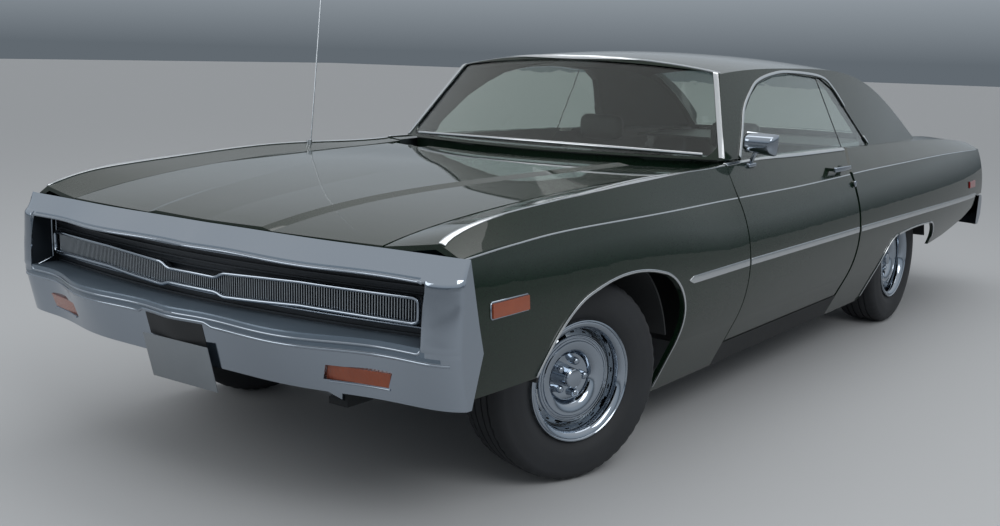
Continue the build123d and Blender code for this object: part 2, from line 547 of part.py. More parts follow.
riser = plan_prism(riser_front, cowl_back, COWL_TRAY_Z, RISER_TOP_Z)
firewall = block(FIREWALL_X, FIREWALL_X + FIREWALL_THICK, -COWL_HALF, COWL_HALF, FLOOR_Z, COWL_TRAY_Z)
firewall -= block(FIREWALL_X - 10, FIREWALL_X + 30, -GEARBOX_RADIUS - 6, GEARBOX_RADIUS + 6, FLOOR_Z - 65, 408)
hinge_pillar = extruded_yz(((COWL_HALF - 4, DOOR_SILL_Z), (HALF_WIDTH - 125, DOOR_SILL_Z),
                            (HALF_WIDTH - 80, CREASE_Z + 30),
                            (HALF_WIDTH - 48, 520), (HALF_WIDTH - 48, 740), (HALF_WIDTH - 110, 890),
                            (COWL_HALF - 4, 890)), PILLAR_REAR_X, PILLAR_FRONT_X)
cowl = tray + riser + firewall + hinge_pillar + mirrored(hinge_pillar)

# Hood hinges: an arm under the hood with an eye on a pin between two ears on the cowl tray
HOOD_HINGE_X, HOOD_HINGE_Z, HOOD_HINGE_Y = FRONT_AXLE_X - 920, BELT_Z - 23, 690
LID_PIN, LID_EYE, LID_ARM = 4, 9, 14
EAR_GAP, EAR_THICK = 2, 5


def hinge_ears(x, y, z, foot_z):
    """Two ears that stand on a plate and the pin between them."""
    ears = cross_pin(x, z, y - LID_ARM / 2 - EAR_GAP - 1, y + LID_ARM / 2 + EAR_GAP + 1, LID_PIN)
    for side in (-1, 1):
        inner = y + side * (LID_ARM / 2 + EAR_GAP)
        outer = inner + side * EAR_THICK
        ears += block(x - 9, x + 9, min(inner, outer), max(inner, outer), min(foot_z, z), max(foot_z, z))
        ears += cross_pin(x, z, min(inner, outer), max(inner, outer), LID_EYE)
    return ears


def hinge_eye(x, y, z):
    return cross_pin(x, z, y - LID_ARM / 2, y + LID_ARM / 2, LID_EYE)


def hinge_bore(x, y, z):
    return cross_pin(x, z, y - LID_ARM, y + LID_ARM, LID_PIN + PIN_FIT)


hood_arm = block(HOOD_HINGE_X, HOOD_HINGE_X + 150, HOOD_HINGE_Y - LID_ARM / 2, HOOD_HINGE_Y + LID_ARM / 2,
                 HOOD_HINGE_Z - 7, HOOD_HINGE_Z + 1)
hood_arm += block(HOOD_HINGE_X + 60, HOOD_HINGE_X + 150, HOOD_HINGE_Y - LID_ARM / 2, HOOD_HINGE_Y + LID_ARM / 2,
                  HOOD_HINGE_Z - 7, HOOD_HINGE_Z + 8)
hood_arm += hinge_eye(HOOD_HINGE_X, HOOD_HINGE_Y, HOOD_HINGE_Z)
hood_arm -= hinge_bore(HOOD_HINGE_X, HOOD_HINGE_Y, HOOD_HINGE_Z)
hood_panel = hood_panel + hood_arm + mirrored(hood_arm)
hood_ears = hinge_ears(HOOD_HINGE_X, HOOD_HINGE_Y, HOOD_HINGE_Z, COWL_TRAY_Z + 2)
cowl = cowl + hood_ears + mirrored(hood_ears)

# Grille: a dark panel with level bars, and the bright ring and finned doors in front of it
GRILLE_BARS = 9
BAR_HALF = 2
GRILLE_BACK, GRILLE_FACE, BAR_FACE = 62, 51, 40
GRILLE_HALF = OPENING_HALF - SEAT_GAP
bar_pitch = (OPENING_HIGH_Z - OPENING_LOW_Z) / GRILLE_BARS


def bow_at(y):
    return NOSE_X - nose_in_at(y)


def bowed_loft(section, half):
    """A bar across the car that follows the bumper's bow; its section is distance behind the nose edge and height."""
    return ring_loft([[(bow_at(y) - back, y, z) for back, z in section] for y in (-half, -half / 2, 0, half / 2, half)])


def grille_section():
    top, low = OPENING_HIGH_Z - SEAT_GAP, OPENING_LOW_Z + SEAT_GAP
    points = [(GRILLE_BACK, low), (GRILLE_BACK, top), (GRILLE_FACE, top)]
    for bar in range(GRILLE_BARS):
        bar_z = OPENING_HIGH_Z - (bar + 0.5) * bar_pitch
        points += [(GRILLE_FACE, bar_z + BAR_HALF), (BAR_FACE, bar_z + BAR_HALF), (BAR_FACE, bar_z - BAR_HALF),
                   (GRILLE_FACE, bar_z - BAR_HALF)]
    return points + [(GRILLE_FACE, low)]


grille = bowed_loft(grille_section(), GRILLE_HALF)

# The ring's outline on the left half: y, top height and low height
RING_END_Y, RING_WAIST_Y = OPENING_HALF - 45, 178
RING_KNOTS = ((0, 702, 672), (RING_WAIST_Y - 28, 702, 672), (RING_WAIST_Y, 722, 652), (390, 732, 650),
              (RING_END_Y, 742, 668))
RING_BAND, RING_FACE = 9, 8
FIN_PITCH, FIN_HALF, FIN_ROOT, FIN_TIP = 22, 3, 34, 20
ring_back = BAR_FACE - SEAT_GAP
ring_top = [(-y, top) for y, top, low in reversed(RING_KNOTS)] + [(y, top) for y, top, low in RING_KNOTS[1:]]
ring_low = [(y, low) for y, top, low in reversed(RING_KNOTS)] + [(-y, low) for y, top, low in RING_KNOTS[1:]]
ring_face = make_face(Polyline(*(ring_top + ring_low), close=True))
front_plane = Plane(origin=(NOSE_X - 450, 0, 0), x_dir=(0, 1, 0), z_dir=(1, 0, 0))
ring_prism = extrude(front_plane * ring_face, amount=500)
ring_hole = extrude(front_plane * moved_in(ring_face, RING_BAND), amount=500)
ring = bowed_loft(((ring_back, 640), (ring_back, 750), (RING_FACE, 750), (RING_FACE, 640)), RING_END_Y + 25)
ring = ring & (ring_prism - ring_hole)
fin_count = int((RING_END_Y - RING_WAIST_Y - 2 * RING_BAND) / FIN_PITCH)
comb_end = RING_END_Y + 15
comb = [(bow_at(y) - ring_back, y) for y in (-comb_end, -600, -300, 0, 300, 600, comb_end)]
teeth = []
for fin in range(fin_count):
    fin_y = RING_WAIST_Y + RING_BAND + (fin + 0.5) * FIN_PITCH
    root_x, tip_x = bow_at(fin_y) - FIN_ROOT, bow_at(fin_y) - FIN_TIP
    teeth += [(root_x, fin_y - FIN_HALF), (tip_x, fin_y - FIN_HALF), (tip_x, fin_y + FIN_HALF),
              (root_x, fin_y + FIN_HALF)]
comb_ends = (bow_at(comb_end) - FIN_ROOT, comb_end)
comb_front = [comb_ends] + teeth[::-1] + [(x, -y) for x, y in teeth] + [(comb_ends[0], -comb_end)]
headlamp_doors = ring + (extruded_xy(comb + comb_front, 640, 750) & ring_hole)

# Turn lamps in slots of the bumper, side markers on the fenders and quarters
TURN_LAMP = ((575, 487), (590, 532), (790, 532), (775, 487))
TURN_DEPTH = 45


def turn_lamp_body(back):
    sections = []
    for y in (540, 680, 830):
        low_x = NOSE_X - 45 - 53 * (y / 600) ** 1.9
        sections.append([(x, y, z) for x, z in ((low_x - back, 470), (low_x - 4, 470), (low_x + 20, 550),
                                                (low_x - back, 550))])
    return ring_loft(sections)


turn_face = make_face(Polyline(*TURN_LAMP, close=True))
turn_plane = Plane(origin=(NOSE_X - 250, 0, 0), x_dir=(0, 1, 0), z_dir=(1, 0, 0))
turn_lamp = turn_lamp_body(TURN_DEPTH) & extrude(turn_plane * moved_in(turn_face, SEAT_GAP), amount=300)
turn_hole = extrude(turn_plane * turn_face, amount=300)
front_bumper = front_bumper - turn_hole - mirrored(turn_hole)
MARKER_OUT = 7


def side_marker(skin, x0, x1, low_z, high_z):
    """A lens that stands on the side panel."""
    near = block(x0, x1, HALF_WIDTH - 120, WIDE, low_z, high_z)
    return Pos(0, SEAT_GAP, 0) * ((Pos(0, MARKER_OUT, 0) * skin & near) - skin)


front_marker = side_marker(nose_solid, FRONT_AXLE_X + 539, FRONT_AXLE_X + 711, 687, 728)
rear_marker = side_marker(side_solid, TAIL_X + 300, TAIL_X + 450, 660, 700)

# Tail: a panel across the rear with long lamps, and a bumper below on brackets
RAIL_Y, RAIL_HALF, RAIL_LOW_Z, RAIL_HIGH_Z = 430, 39, 330, 428
REAR_RAIL_Y, REAR_RAIL_HALF = 555, 35
tail_panel = extruded_yz(((-880, TAIL_LOW_Z), (-880, 800), (-780, TAIL_TOP_Z - 4), (780, TAIL_TOP_Z - 4), (880, 800),
                          (880, TAIL_LOW_Z)), TAIL_X + 46, TAIL_X + 56)
tail_panel = (tail_panel - quarter_skin - mirrored(quarter_skin)).solids().sort_by(SortBy.VOLUME)[-1]
PLATE_HOLE_Y, PLATE_HOLE_RADIUS, PLATE_HOLE_Z = 89, 3.5, 640
for side in (-1, 1):
    tail_panel -= tube_between((TAIL_X + 30, side * PLATE_HOLE_Y, PLATE_HOLE_Z),
                               (TAIL_X + 70, side * PLATE_HOLE_Y, PLATE_HOLE_Z), PLATE_HOLE_RADIUS)
REAR_BUMPER_STATIONS = (
    # y, then how far ahead of the tail lie the face and the foot
    (0, 0, 40),
    (500, 8, 50),
    (860, 40, 80),
    (HALF_WIDTH - 39.5, 96, 130),
)
REAR_BUMPER_LOW_Z, REAR_BUMPER_HIGH_Z = 410, TAIL_LOW_Z - 6


def rear_bumper_section(y, back_in, low_in):
    points = ((back_in + 14, REAR_BUMPER_HIGH_Z), (back_in, 560), (back_in, 470), (low_in + 8, REAR_BUMPER_LOW_Z),
              (low_in + 60, REAR_BUMPER_LOW_Z), (back_in + 70, REAR_BUMPER_HIGH_Z))
    return [(TAIL_X + x, y, z) for x, z in points]


RAIL_END_X = TAIL_X + 150
rear_bumper = ring_loft([rear_bumper_section(*row) for row in both_ways(REAR_BUMPER_STATIONS)])
for side in (-1, 1):
    rear_bumper += block(TAIL_X + 80, RAIL_END_X - SEAT_GAP, side * REAR_RAIL_Y - 25, side * REAR_RAIL_Y + 25, 430, 470)
TAIL_LAMP = (250, 820, 660, 790)
tail_lamp = block(TAIL_X + 22, TAIL_X + 46 - SEAT_GAP, *TAIL_LAMP)

# Floor, rockers and trunk floor in one pan
TUNNEL_HALF, TUNNEL_RISE = 130, 155
TRUNK_Z, TRUNK_HALF = 490, 600
FLOOR_REAR_X = REAR_AXLE_X + 435
rockers = rocker_left + mirrored(rocker_left)
floor = block(FLOOR_REAR_X, FIREWALL_X, -DOOR_INNER_Y, DOOR_INNER_Y, FLOOR_Z, FLOOR_Z + FLOOR_THICK)
tunnel_out = block(FLOOR_REAR_X, FIREWALL_X, -TUNNEL_HALF, TUNNEL_HALF, FLOOR_Z, FLOOR_Z + TUNNEL_RISE)
tunnel_in = block(FLOOR_REAR_X - 20, FIREWALL_X + 20, -TUNNEL_HALF + FLOOR_THICK, TUNNEL_HALF - FLOOR_THICK, FLOOR_Z,
                  FLOOR_Z + TUNNEL_RISE - FLOOR_THICK)
kickup = block(FLOOR_REAR_X - FLOOR_THICK, FLOOR_REAR_X, -TRUNK_HALF, TRUNK_HALF, FLOOR_Z, TRUNK_Z + FLOOR_THICK)
trunk = block(TAIL_X + 110, FLOOR_REAR_X, -TRUNK_HALF, TRUNK_HALF, TRUNK_Z, TRUNK_Z + FLOOR_THICK)
floor_pan = floor + tunnel_out + kickup + trunk + rockers - tunnel_in


# Wheelhouses: arched covers over the tyres
def wheelhouse(axle_x, radius, inner_y, outer_y, low_z):
    wall = 8
    outer = Pos(axle_x, 0, TYRE_RADIUS) * Rot(90, 0, 0) * Cylinder(radius + wall, outer_y - inner_y)
    inner = Pos(axle_x, 0, TYRE_RADIUS) * Rot(90, 0, 0) * Cylinder(radius, outer_y - inner_y - 2 * wall)
    cover = Pos(0, (inner_y + outer_y) / 2, 0) * outer - Pos(0, (inner_y + outer_y) / 2 + wall, 0) * inner
    return cover & block(axle_x - radius - wall, axle_x + radius + wall, inner_y, outer_y - wall, low_z, 1100)


HOUSE_RADIUS_FRONT, HOUSE_RADIUS_REAR = TYRE_RADIUS + 65, TYRE_RADIUS + 55
FRONT_HOUSE_Y, REAR_HOUSE_Y = RAIL_Y + 46, TRUNK_HALF + 8
ARM_SLOT = 190
front_house = wheelhouse(FRONT_AXLE_X, HOUSE_RADIUS_FRONT, FRONT_HOUSE_Y, HALF_WIDTH - 54.5, RAIL_HIGH_Z + 2)
front_house -= block(FRONT_AXLE_X - ARM_SLOT, FRONT_AXLE_X + ARM_SLOT, FRONT_HOUSE_Y - 6, FRONT_HOUSE_Y + 24, 400, 560)
rear_house = wheelhouse(REAR_AXLE_X, HOUSE_RADIUS_REAR, REAR_HOUSE_Y, HALF_WIDTH - 74.5, 440)

# Package shelf behind the rear seat, with the strip of body between backlight and deck lid
SHELF_Z = BELT_Z - 47
SHELF_HALF = 640
deck_strip = deck_loft & block(DECK_FRONT_X + LID_GAP, BACKLIGHT_BASE_X - SEAT_GAP, -WIDE, WIDE, BELT_Z - 285, HIGH)
deck_strip = deck_strip - seam_side - mirrored(seam_side)
shelf = block(BACKLIGHT_BASE_X + 5, REAR_AXLE_X + 195, -SHELF_HALF, SHELF_HALF, SHELF_Z, SHELF_Z + 12)
shelf_riser = block(BACKLIGHT_BASE_X - 45, BACKLIGHT_BASE_X + 5, -SHELF_HALF, SHELF_HALF, SHELF_Z, BELT_Z - 14)

# Deck lid hinges: a gooseneck that dips round the strip to an eye on a pin under the shelf
NECK_Y, NECK_IN, NECK_OUT = 560, 72, 86
NECK_HINGE_X, NECK_HINGE_Z = BACKLIGHT_BASE_X - 15, BELT_Z - 40
NECK_DIP = -48
bay = block(NECK_HINGE_X - 34, NECK_HINGE_X + 60, NECK_Y - 25, NECK_Y + 25, SHELF_Z - 8, BELT_Z - 16.5)
shelf_riser = shelf_riser - bay - mirrored(bay)
shelf = shelf - bay - mirrored(bay)
neck_pin = cross_pin(NECK_HINGE_X, NECK_HINGE_Z, NECK_Y - 27, NECK_Y + 27, LID_PIN)
parcel_shelf = deck_strip + shelf + shelf_riser + neck_pin + mirrored(neck_pin)


def polar(radius, degrees):
    """A point round the deck hinge: 0 degrees points to the rear, 90 up."""
    a = math.radians(degrees)
    return NECK_HINGE_X - radius * math.cos(a), NECK_Y - LID_ARM / 2, NECK_HINGE_Z + radius * math.sin(a)


NECK_TOP = 19
neck = extrude(make_face([
    ThreePointArc(polar(NECK_IN, NECK_TOP), polar(NECK_IN, (NECK_TOP + NECK_DIP) / 2), polar(NECK_IN, NECK_DIP)),
    Line(polar(NECK_IN, NECK_DIP), polar(0.1, NECK_DIP)),
    Line(polar(0.1, NECK_DIP), polar(14, NECK_DIP - 60)),
    Line(polar(14, NECK_DIP - 60), polar(NECK_OUT, NECK_DIP - 9)),
    ThreePointArc(polar(NECK_OUT, NECK_DIP - 9), polar(NECK_OUT, (NECK_TOP + NECK_DIP) / 2), polar(NECK_OUT, NECK_TOP)),
    Line(polar(NECK_OUT, NECK_TOP), polar(NECK_IN, NECK_TOP)),
]), amount=LID_ARM, dir=(0, 1, 0))
neck += hinge_eye(NECK_HINGE_X, NECK_Y, NECK_HINGE_Z)
neck -= hinge_bore(NECK_HINGE_X, NECK_Y, NECK_HINGE_Z)
lip_rows = ((-DECK_SPAN - 30, -11), (-DECK_SPAN / 2, -1), (0, 3), (DECK_SPAN / 2, -1), (DECK_SPAN + 30, -11))
lip_cut = ring_loft([[(DECK_FRONT_X + 1, y, BELT_Z + rise - 60), (DECK_FRONT_X + 1, y, BELT_Z + rise - LID_LIP),
                      (DECK_FRONT_X, y, BELT_Z + rise - LID_LIP - 2), (DECK_FRONT_X - 50, y, BELT_Z + rise - 60)]
                     for y, rise in lip_rows])
decklid_panel = decklid_panel - lip_cut + neck + mirrored(neck)

# Chassis below the body
RAIL_FRONT_X = NOSE_X - 290
PILLAR_BASE_X = FIREWALL_X + FIREWALL_THICK + SEAT_GAP
rail = block(PILLAR_BASE_X, RAIL_FRONT_X, RAIL_Y - RAIL_HALF, RAIL_Y + RAIL_HALF, RAIL_LOW_Z, RAIL_HIGH_Z)
RADIATOR_X, RADIATOR_LOW_Z = NOSE_X - 490, RAIL_HIGH_Z + 2
radiator_beam = block(RADIATOR_X - 40, RADIATOR_X + 40, -RAIL_Y + RAIL_HALF, RAIL_Y - RAIL_HALF, RADIATOR_LOW_Z - 50,
                      RADIATOR_LOW_Z - SEAT_GAP)
rear_rail = block(RAIL_END_X, FLOOR_REAR_X - FLOOR_THICK - SEAT_GAP, REAR_RAIL_Y - REAR_RAIL_HALF,
                  REAR_RAIL_Y + REAR_RAIL_HALF, TRUNK_Z - 90, TRUNK_Z - SEAT_GAP)
frame_rails = [rail + mirrored(rail) + radiator_beam, rear_rail, mirrored(rear_rail)]
bumper_iron = extruded_xz(((RAIL_FRONT_X + SEAT_GAP, 350), (RAIL_FRONT_X + SEAT_GAP, RAIL_HIGH_Z), (NOSE_X - 170, 500),
                           (NOSE_X - 120, 500), (NOSE_X - 120, 456), (NOSE_X - 210, 400)), RAIL_Y - 28, RAIL_Y + 28)
front_bumper = front_bumper + bumper_iron + mirrored(bumper_iron)
ENGINE_LOW_Z = 335
engine_block = block(FRONT_AXLE_X - 505, FRONT_AXLE_X + 225, -270, 270, ENGINE_LOW_Z, 800)
gearbox = Pos(FRONT_AXLE_X - 720, 0, GEARBOX_Z) * Rot(0, 90, 0) * Cylinder(GEARBOX_RADIUS, 430)
mount_feet = block(FRONT_AXLE_X - 60, FRONT_AXLE_X + 60, -RAIL_Y + RAIL_HALF + SEAT_GAP, RAIL_Y - RAIL_HALF - SEAT_GAP,
                   360, 400)
radiator = block(RADIATOR_X - 30, RADIATOR_X + 30, -360, 360, RADIATOR_LOW_Z, 800)

# Front suspension: arms whose bosses take the kingpin of the knuckle
LOWER_ARM_Z, UPPER_ARM_Z, ARM_THICK = 205, 462, 24
ARM_BOSS = 17


def arm(z, reach_x, inboard_y, thick):
    points = ((-ARM_BOSS, KINGPIN_Y), (ARM_BOSS, KINGPIN_Y), (45, KINGPIN_Y - 80), (50, KINGPIN_Y - 130),
              (reach_x, inboard_y), (-reach_x, inboard_y), (-50, KINGPIN_Y - 130), (-45, KINGPIN_Y - 80))
    shape = extruded_xy(tuple((FRONT_AXLE_X + x, y) for x, y in points), z, z + thick)
    shape += Pos(FRONT_AXLE_X, KINGPIN_Y, z + thick / 2) * Cylinder(ARM_BOSS, thick)
    return shape - Pos(FRONT_AXLE_X, KINGPIN_Y, z + thick / 2) * Cylinder(KINGPIN_RADIUS + PIN_FIT, thick + 2)


lower_arm = arm(LOWER_ARM_Z, 150, RAIL_Y - 90, ARM_THICK)
upper_arm = arm(UPPER_ARM_Z, 120, RAIL_Y - 20, ARM_THICK)
upper_arm += block(FRONT_AXLE_X - 110, FRONT_AXLE_X + 110, RAIL_Y - 30, RAIL_Y + 30, RAIL_HIGH_Z + SEAT_GAP,
                   UPPER_ARM_Z)
CROSS_HALF, CROSS_Y = 55, RAIL_Y - RAIL_HALF - SEAT_GAP
cross = block(FRONT_AXLE_X - CROSS_HALF, FRONT_AXLE_X + CROSS_HALF, -CROSS_Y, CROSS_Y, LOWER_ARM_Z + ARM_THICK,
              RAIL_LOW_Z - SEAT_GAP)
for side in (-1, 1):
    foot_y = sorted((side * CROSS_Y, side * (CROSS_Y - 80)))
    cross += block(FRONT_AXLE_X - CROSS_HALF, FRONT_AXLE_X + CROSS_HALF, *foot_y, RAIL_LOW_Z - 20, RAIL_LOW_Z + 28)
front_suspension = [cross + mirrored(lower_arm) + lower_arm, upper_arm, mirrored(upper_arm)]

# Rear axle with two leaf spring packs under the rear rails
AXLE_TUBE_RADIUS = 42
axle_tube = tube_between((REAR_AXLE_X, -700, TYRE_RADIUS), (REAR_AXLE_X, 700, TYRE_RADIUS), AXLE_TUBE_RADIUS)
diff = Pos(REAR_AXLE_X, 0, TYRE_RADIUS) * Sphere(112) & block(REAR_AXLE_X - 130, REAR_AXLE_X + 130, -90, 90, 200, 500)
half_shaft = tube_between((REAR_AXLE_X, 0, TYRE_RADIUS), (REAR_AXLE_X, HALF_TRACK + 48, TYRE_RADIUS), SPINDLE_RADIUS)
SPRING_REACH, SPRING_HALF, SPRING_LOW_Z = 560, 32, 290
SPRING_HIGH_Z = TRUNK_Z - 90 - SEAT_GAP
SPRING_FRONT = SPRING_REACH - 145
spring = extruded_xz(((-SPRING_REACH, 392), (-SPRING_REACH, SPRING_HIGH_Z), (-SPRING_REACH + 30, SPRING_HIGH_Z),
                      (-120, SPRING_LOW_Z + 14), (120, SPRING_LOW_Z + 14), (SPRING_FRONT - 30, SPRING_HIGH_Z),
                      (SPRING_FRONT, SPRING_HIGH_Z), (SPRING_FRONT, 388), (120, SPRING_LOW_Z), (-120, SPRING_LOW_Z)),
                     REAR_RAIL_Y - SPRING_HALF, REAR_RAIL_Y + SPRING_HALF)
rear_axle = axle_tube + diff + half_shaft + mirrored(half_shaft)
for side in (1, -1):
    leaf = Pos(REAR_AXLE_X, 0, 0) * spring
    rear_axle += leaf if side == 1 else mirrored(leaf)
driveshaft = tube_between((REAR_AXLE_X + 113, 0, TYRE_RADIUS), (FIREWALL_X + 19.3, 0, GEARBOX_Z), 38)
tank = block(TAIL_X + 210, TAIL_X + 770, -420, 420, 300, TRUNK_Z - SEAT_GAP)
PIPE_Y, PIPE_Z, PIPE_RADIUS, MUFFLER_RADIUS, MUFFLER_X = 300, 205, 24, 62, FRONT_AXLE_X - 2135
pipe = tube_between((FRONT_AXLE_X - 535, PIPE_Y, PIPE_Z), (REAR_AXLE_X + 465, PIPE_Y, PIPE_Z), PIPE_RADIUS)
pipe += Pos(MUFFLER_X, PIPE_Y, PIPE_Z - 10) * Rot(0, 90, 0) * Cylinder(MUFFLER_RADIUS, 620)
for hanger_x in (MUFFLER_X - 200, MUFFLER_X + 200):
    pipe += block(hanger_x - 12, hanger_x + 12, PIPE_Y - 8, PIPE_Y + 8, PIPE_Z + 40, FLOOR_Z - SEAT_GAP)

# Interior
DASH_HALF = 770
DASH_X = SCREEN_CORNER_X - 29
dash_points = ((DASH_X - 60, 560), (FIREWALL_X - SEAT_GAP, 600), (FIREWALL_X - SEAT_GAP, 930), (DASH_X, 934),
               (DASH_X - 120, 900), (DASH_X - 110, 700))
COLUMN_Y = 400
COLUMN_LOW, COLUMN_TOP = (FRONT_AXLE_X - 975, COLUMN_Y, 640), (FRONT_AXLE_X - 1355, COLUMN_Y, 770)
dashboard = extruded_xz(dash_points, -DASH_HALF, DASH_HALF) + tube_between(COLUMN_LOW, COLUMN_TOP, 30)
HUB_LENGTH = 52
WHEEL_RADIUS, WHEEL_GRIP = 195, 13
column_axis = (Vector(*COLUMN_TOP) - Vector(*COLUMN_LOW)).normalized()
wheel_plane = Plane(origin=Vector(*COLUMN_TOP) + column_axis * (HUB_LENGTH + SEAT_GAP), z_dir=column_axis)
steering_wheel = wheel_plane * (Torus(WHEEL_RADIUS, WHEEL_GRIP) + Pos(0, 0, -HUB_LENGTH / 2) * Cylinder(45, HUB_LENGTH))
for turn in (0, 180):
    steering_wheel += wheel_plane * (Rot(0, 0, turn) * Pos(115, 0, -8) * Box(170, 36, 10))

SEAT_X = FRONT_AXLE_X - 1505
SEAT_HALF = 700
FRONT_CUSHION = ((0, 470), (-30, 530), (-510, 500), (-530, 421), (-50, 421))
FRONT_BACK = ((-500, 440), (-390, 490), (-540, 960), (-630, 960), (-600, 440))
REAR_SEAT = ((-750, 421), (-740, 520), (-1180, 505), (-1340, 930), (-1430, 930), (-1290, 505), (-1209, 505),
             (-1209, 421))
front_seat = extruded_xz(tuple((SEAT_X + x, z) for x, z in FRONT_CUSHION), -SEAT_HALF, SEAT_HALF)
front_seat += extruded_xz(tuple((SEAT_X + x, z) for x, z in FRONT_BACK), -SEAT_HALF, SEAT_HALF)
for foot_y in (-640, -200, 200, 640):
    front_seat += block(SEAT_X - 510, SEAT_X - 50, foot_y - 20, foot_y + 20, FLOOR_Z + FLOOR_THICK + SEAT_GAP, 425)
for side in (-1, 1):
    front_seat += block(SEAT_X - 640, SEAT_X - 550, side * 380 - 130, side * 380 + 130, 950, 1100)
rear_seat = extruded_xz(tuple((SEAT_X + x, z) for x, z in REAR_SEAT), -TRUNK_HALF + 10, TRUNK_HALF - 10)

# Door mirror on its stalk, and the antenna on the other fender
MIRROR_X, MIRROR_Y, MIRROR_Z = FRONT_AXLE_X - 1147, HALF_WIDTH - 86, 1070
mirror_head = Pos(MIRROR_X, MIRROR_Y, MIRROR_Z) * Box(60, 165, 106)
mirror_head = fillet(mirror_head.edges().filter_by(Axis.Y), 20)
mirror_stalk = tube_between((MIRROR_X + 8, HALF_WIDTH - 132, 900), (MIRROR_X, MIRROR_Y, MIRROR_Z - 30), 11)
mirror_stalk = (mirror_stalk - door_top).solids().sort_by(Axis.Z)[-1]
door_mirror = Pos(0, 0, SEAT_GAP) * (mirror_head + mirror_stalk)
ANTENNA_X, ANTENNA_Y, ANTENNA_TOP_Z, ANTENNA_LEAN = FRONT_AXLE_X - 435, 862, 1790, 95
antenna = tube_between((ANTENNA_X, ANTENNA_Y, 900), (ANTENNA_X - ANTENNA_LEAN, ANTENNA_Y, ANTENNA_TOP_Z), 3)
antenna += tube_between((ANTENNA_X, ANTENNA_Y, 900), (ANTENNA_X, ANTENNA_Y, 1004), 13)
antenna = (antenna - fender_left).solids().sort_by(Axis.Z)[-1]
antenna = mirrored(Pos(0, 0, SEAT_GAP) * antenna)


# Wheels
def revolved(points):
    return revolve(make_face(Polyline(*[(r, y) for r, y in points], close=True)), axis=Axis.Y)


def tyre_shape():
    half = TYRE_WIDTH / 2
    r0, r1 = BEAD_RADIUS + SEAT_GAP, TYRE_RADIUS
    shoulder, wall = r1 - 27, r1 - 87
    return revolved(((r0, -half + 29), (RIM_RADIUS, -half + 25), (wall, -half), (shoulder, -half + 8), (r1 - 7, -half + 24),
                     (r1, -half + 46), (r1, half - 46), (r1 - 7, half - 24), (shoulder, half - 8), (wall, half),
                     (RIM_RADIUS, half - 25), (r0, half - 29)))


def rim_shape():
    """Barrel, flanges, dished disc, drum and bored hub turned as one profile of radius and y; +Y is outside."""
    bore, barrel, flange = SPINDLE_RADIUS + PIN_FIT, BEAD_RADIUS - 12, TYRE_WIDTH / 2 - 15
    shape = revolved((
        (bore, -22), (62, -22), (62, 5), (132, 5), (132, -28), (140, -28), (140, 13), (84, 13), (84, 26), (104, 50),
        (140, 48), (barrel, 24), (barrel, 6 - flange), (RIM_RADIUS, -flange), (RIM_RADIUS, 9 - flange),
        (BEAD_RADIUS, 13 - flange), (BEAD_RADIUS, flange - 13), (RIM_RADIUS, flange - 9), (RIM_RADIUS, flange),
        (barrel, flange - 6), (barrel, 38), (140, 60), (100, 62), (78, 36), (34, 36), (34, 62), (26, 68), (0, 68),
        (0, 48), (bore, 48)))
    turn = 360 / WHEEL_NUTS
    slots = [Rot(0, turn * k, 0) * Pos(148, 45, 0) * Box(14, 70, 34) for k in range(WHEEL_NUTS)]
    nuts = [Rot(0, turn * (k + 0.5), 0) * Pos(57, 40, 0) * Rot(90, 0, 0) * Cylinder(10, 26) for k in range(WHEEL_NUTS)]
    return shape - slots + nuts


def knuckle_shape():
    """Upright, spindle, kingpin and steering arm of the left side, with the kingpin on the local Z axis."""
    low, high = LOWER_ARM_Z + ARM_THICK + SEAT_GAP, UPPER_ARM_Z - SEAT_GAP
    upright = block(-36, 36, -22, 22, low, high)
    kingpin = tube_between((0, 0, LOWER_ARM_Z), (0, 0, UPPER_ARM_Z + ARM_THICK), KINGPIN_RADIUS)
    shield = Pos(0, 12, TYRE_RADIUS) * Rot(90, 0, 0) * Cylinder(106, 6)
    spindle = tube_between((0, 0, TYRE_RADIUS), (0, HALF_TRACK - KINGPIN_Y + 46, TYRE_RADIUS), SPINDLE_RADIUS)
    steer_arm = block(-STEER_ARM, 36, -22, 14, STEER_ARM_Z, STEER_ARM_Z + 26)
    eye = Pos(-STEER_ARM, -4, STEER_ARM_Z + 13) * Cylinder(14, 26)
    return upright + kingpin + shield + spindle + steer_arm + eye


def arm_end(side):
    turn = math.radians(PARKED_STEER)
    x, y = -STEER_ARM, -4 * side
    return (FRONT_AXLE_X + x * math.cos(turn) - y * math.sin(turn),
            side * KINGPIN_Y + x * math.sin(turn) + y * math.cos(turn))


ROD_RADIUS, ROD_EYE = 9, 14
rod_z = STEER_ARM_Z + 26 + SEAT_GAP + ROD_RADIUS + 2
left_end, right_end = arm_end(1), arm_end(-1)
track_rod = tube_between((*right_end, rod_z), (*left_end, rod_z), ROD_RADIUS)
for end in (left_end, right_end):
    track_rod += Pos(*end, rod_z) * Cylinder(ROD_EYE, 2 * ROD_RADIUS + 4)

tyre = tyre_shape()
rim = rim_shape()
knuckle = knuckle_shape()
at_front = Pos(0, HALF_TRACK - KINGPIN_Y, TYRE_RADIUS)
front_left = Pos(FRONT_AXLE_X, KINGPIN_Y, 0) * Rot(0, 0, PARKED_STEER)
front_right = Pos(FRONT_AXLE_X, -KINGPIN_Y, 0) * Rot(0, 0, PARKED_STEER)
rear_left = Pos(REAR_AXLE_X, HALF_TRACK, TYRE_RADIUS)

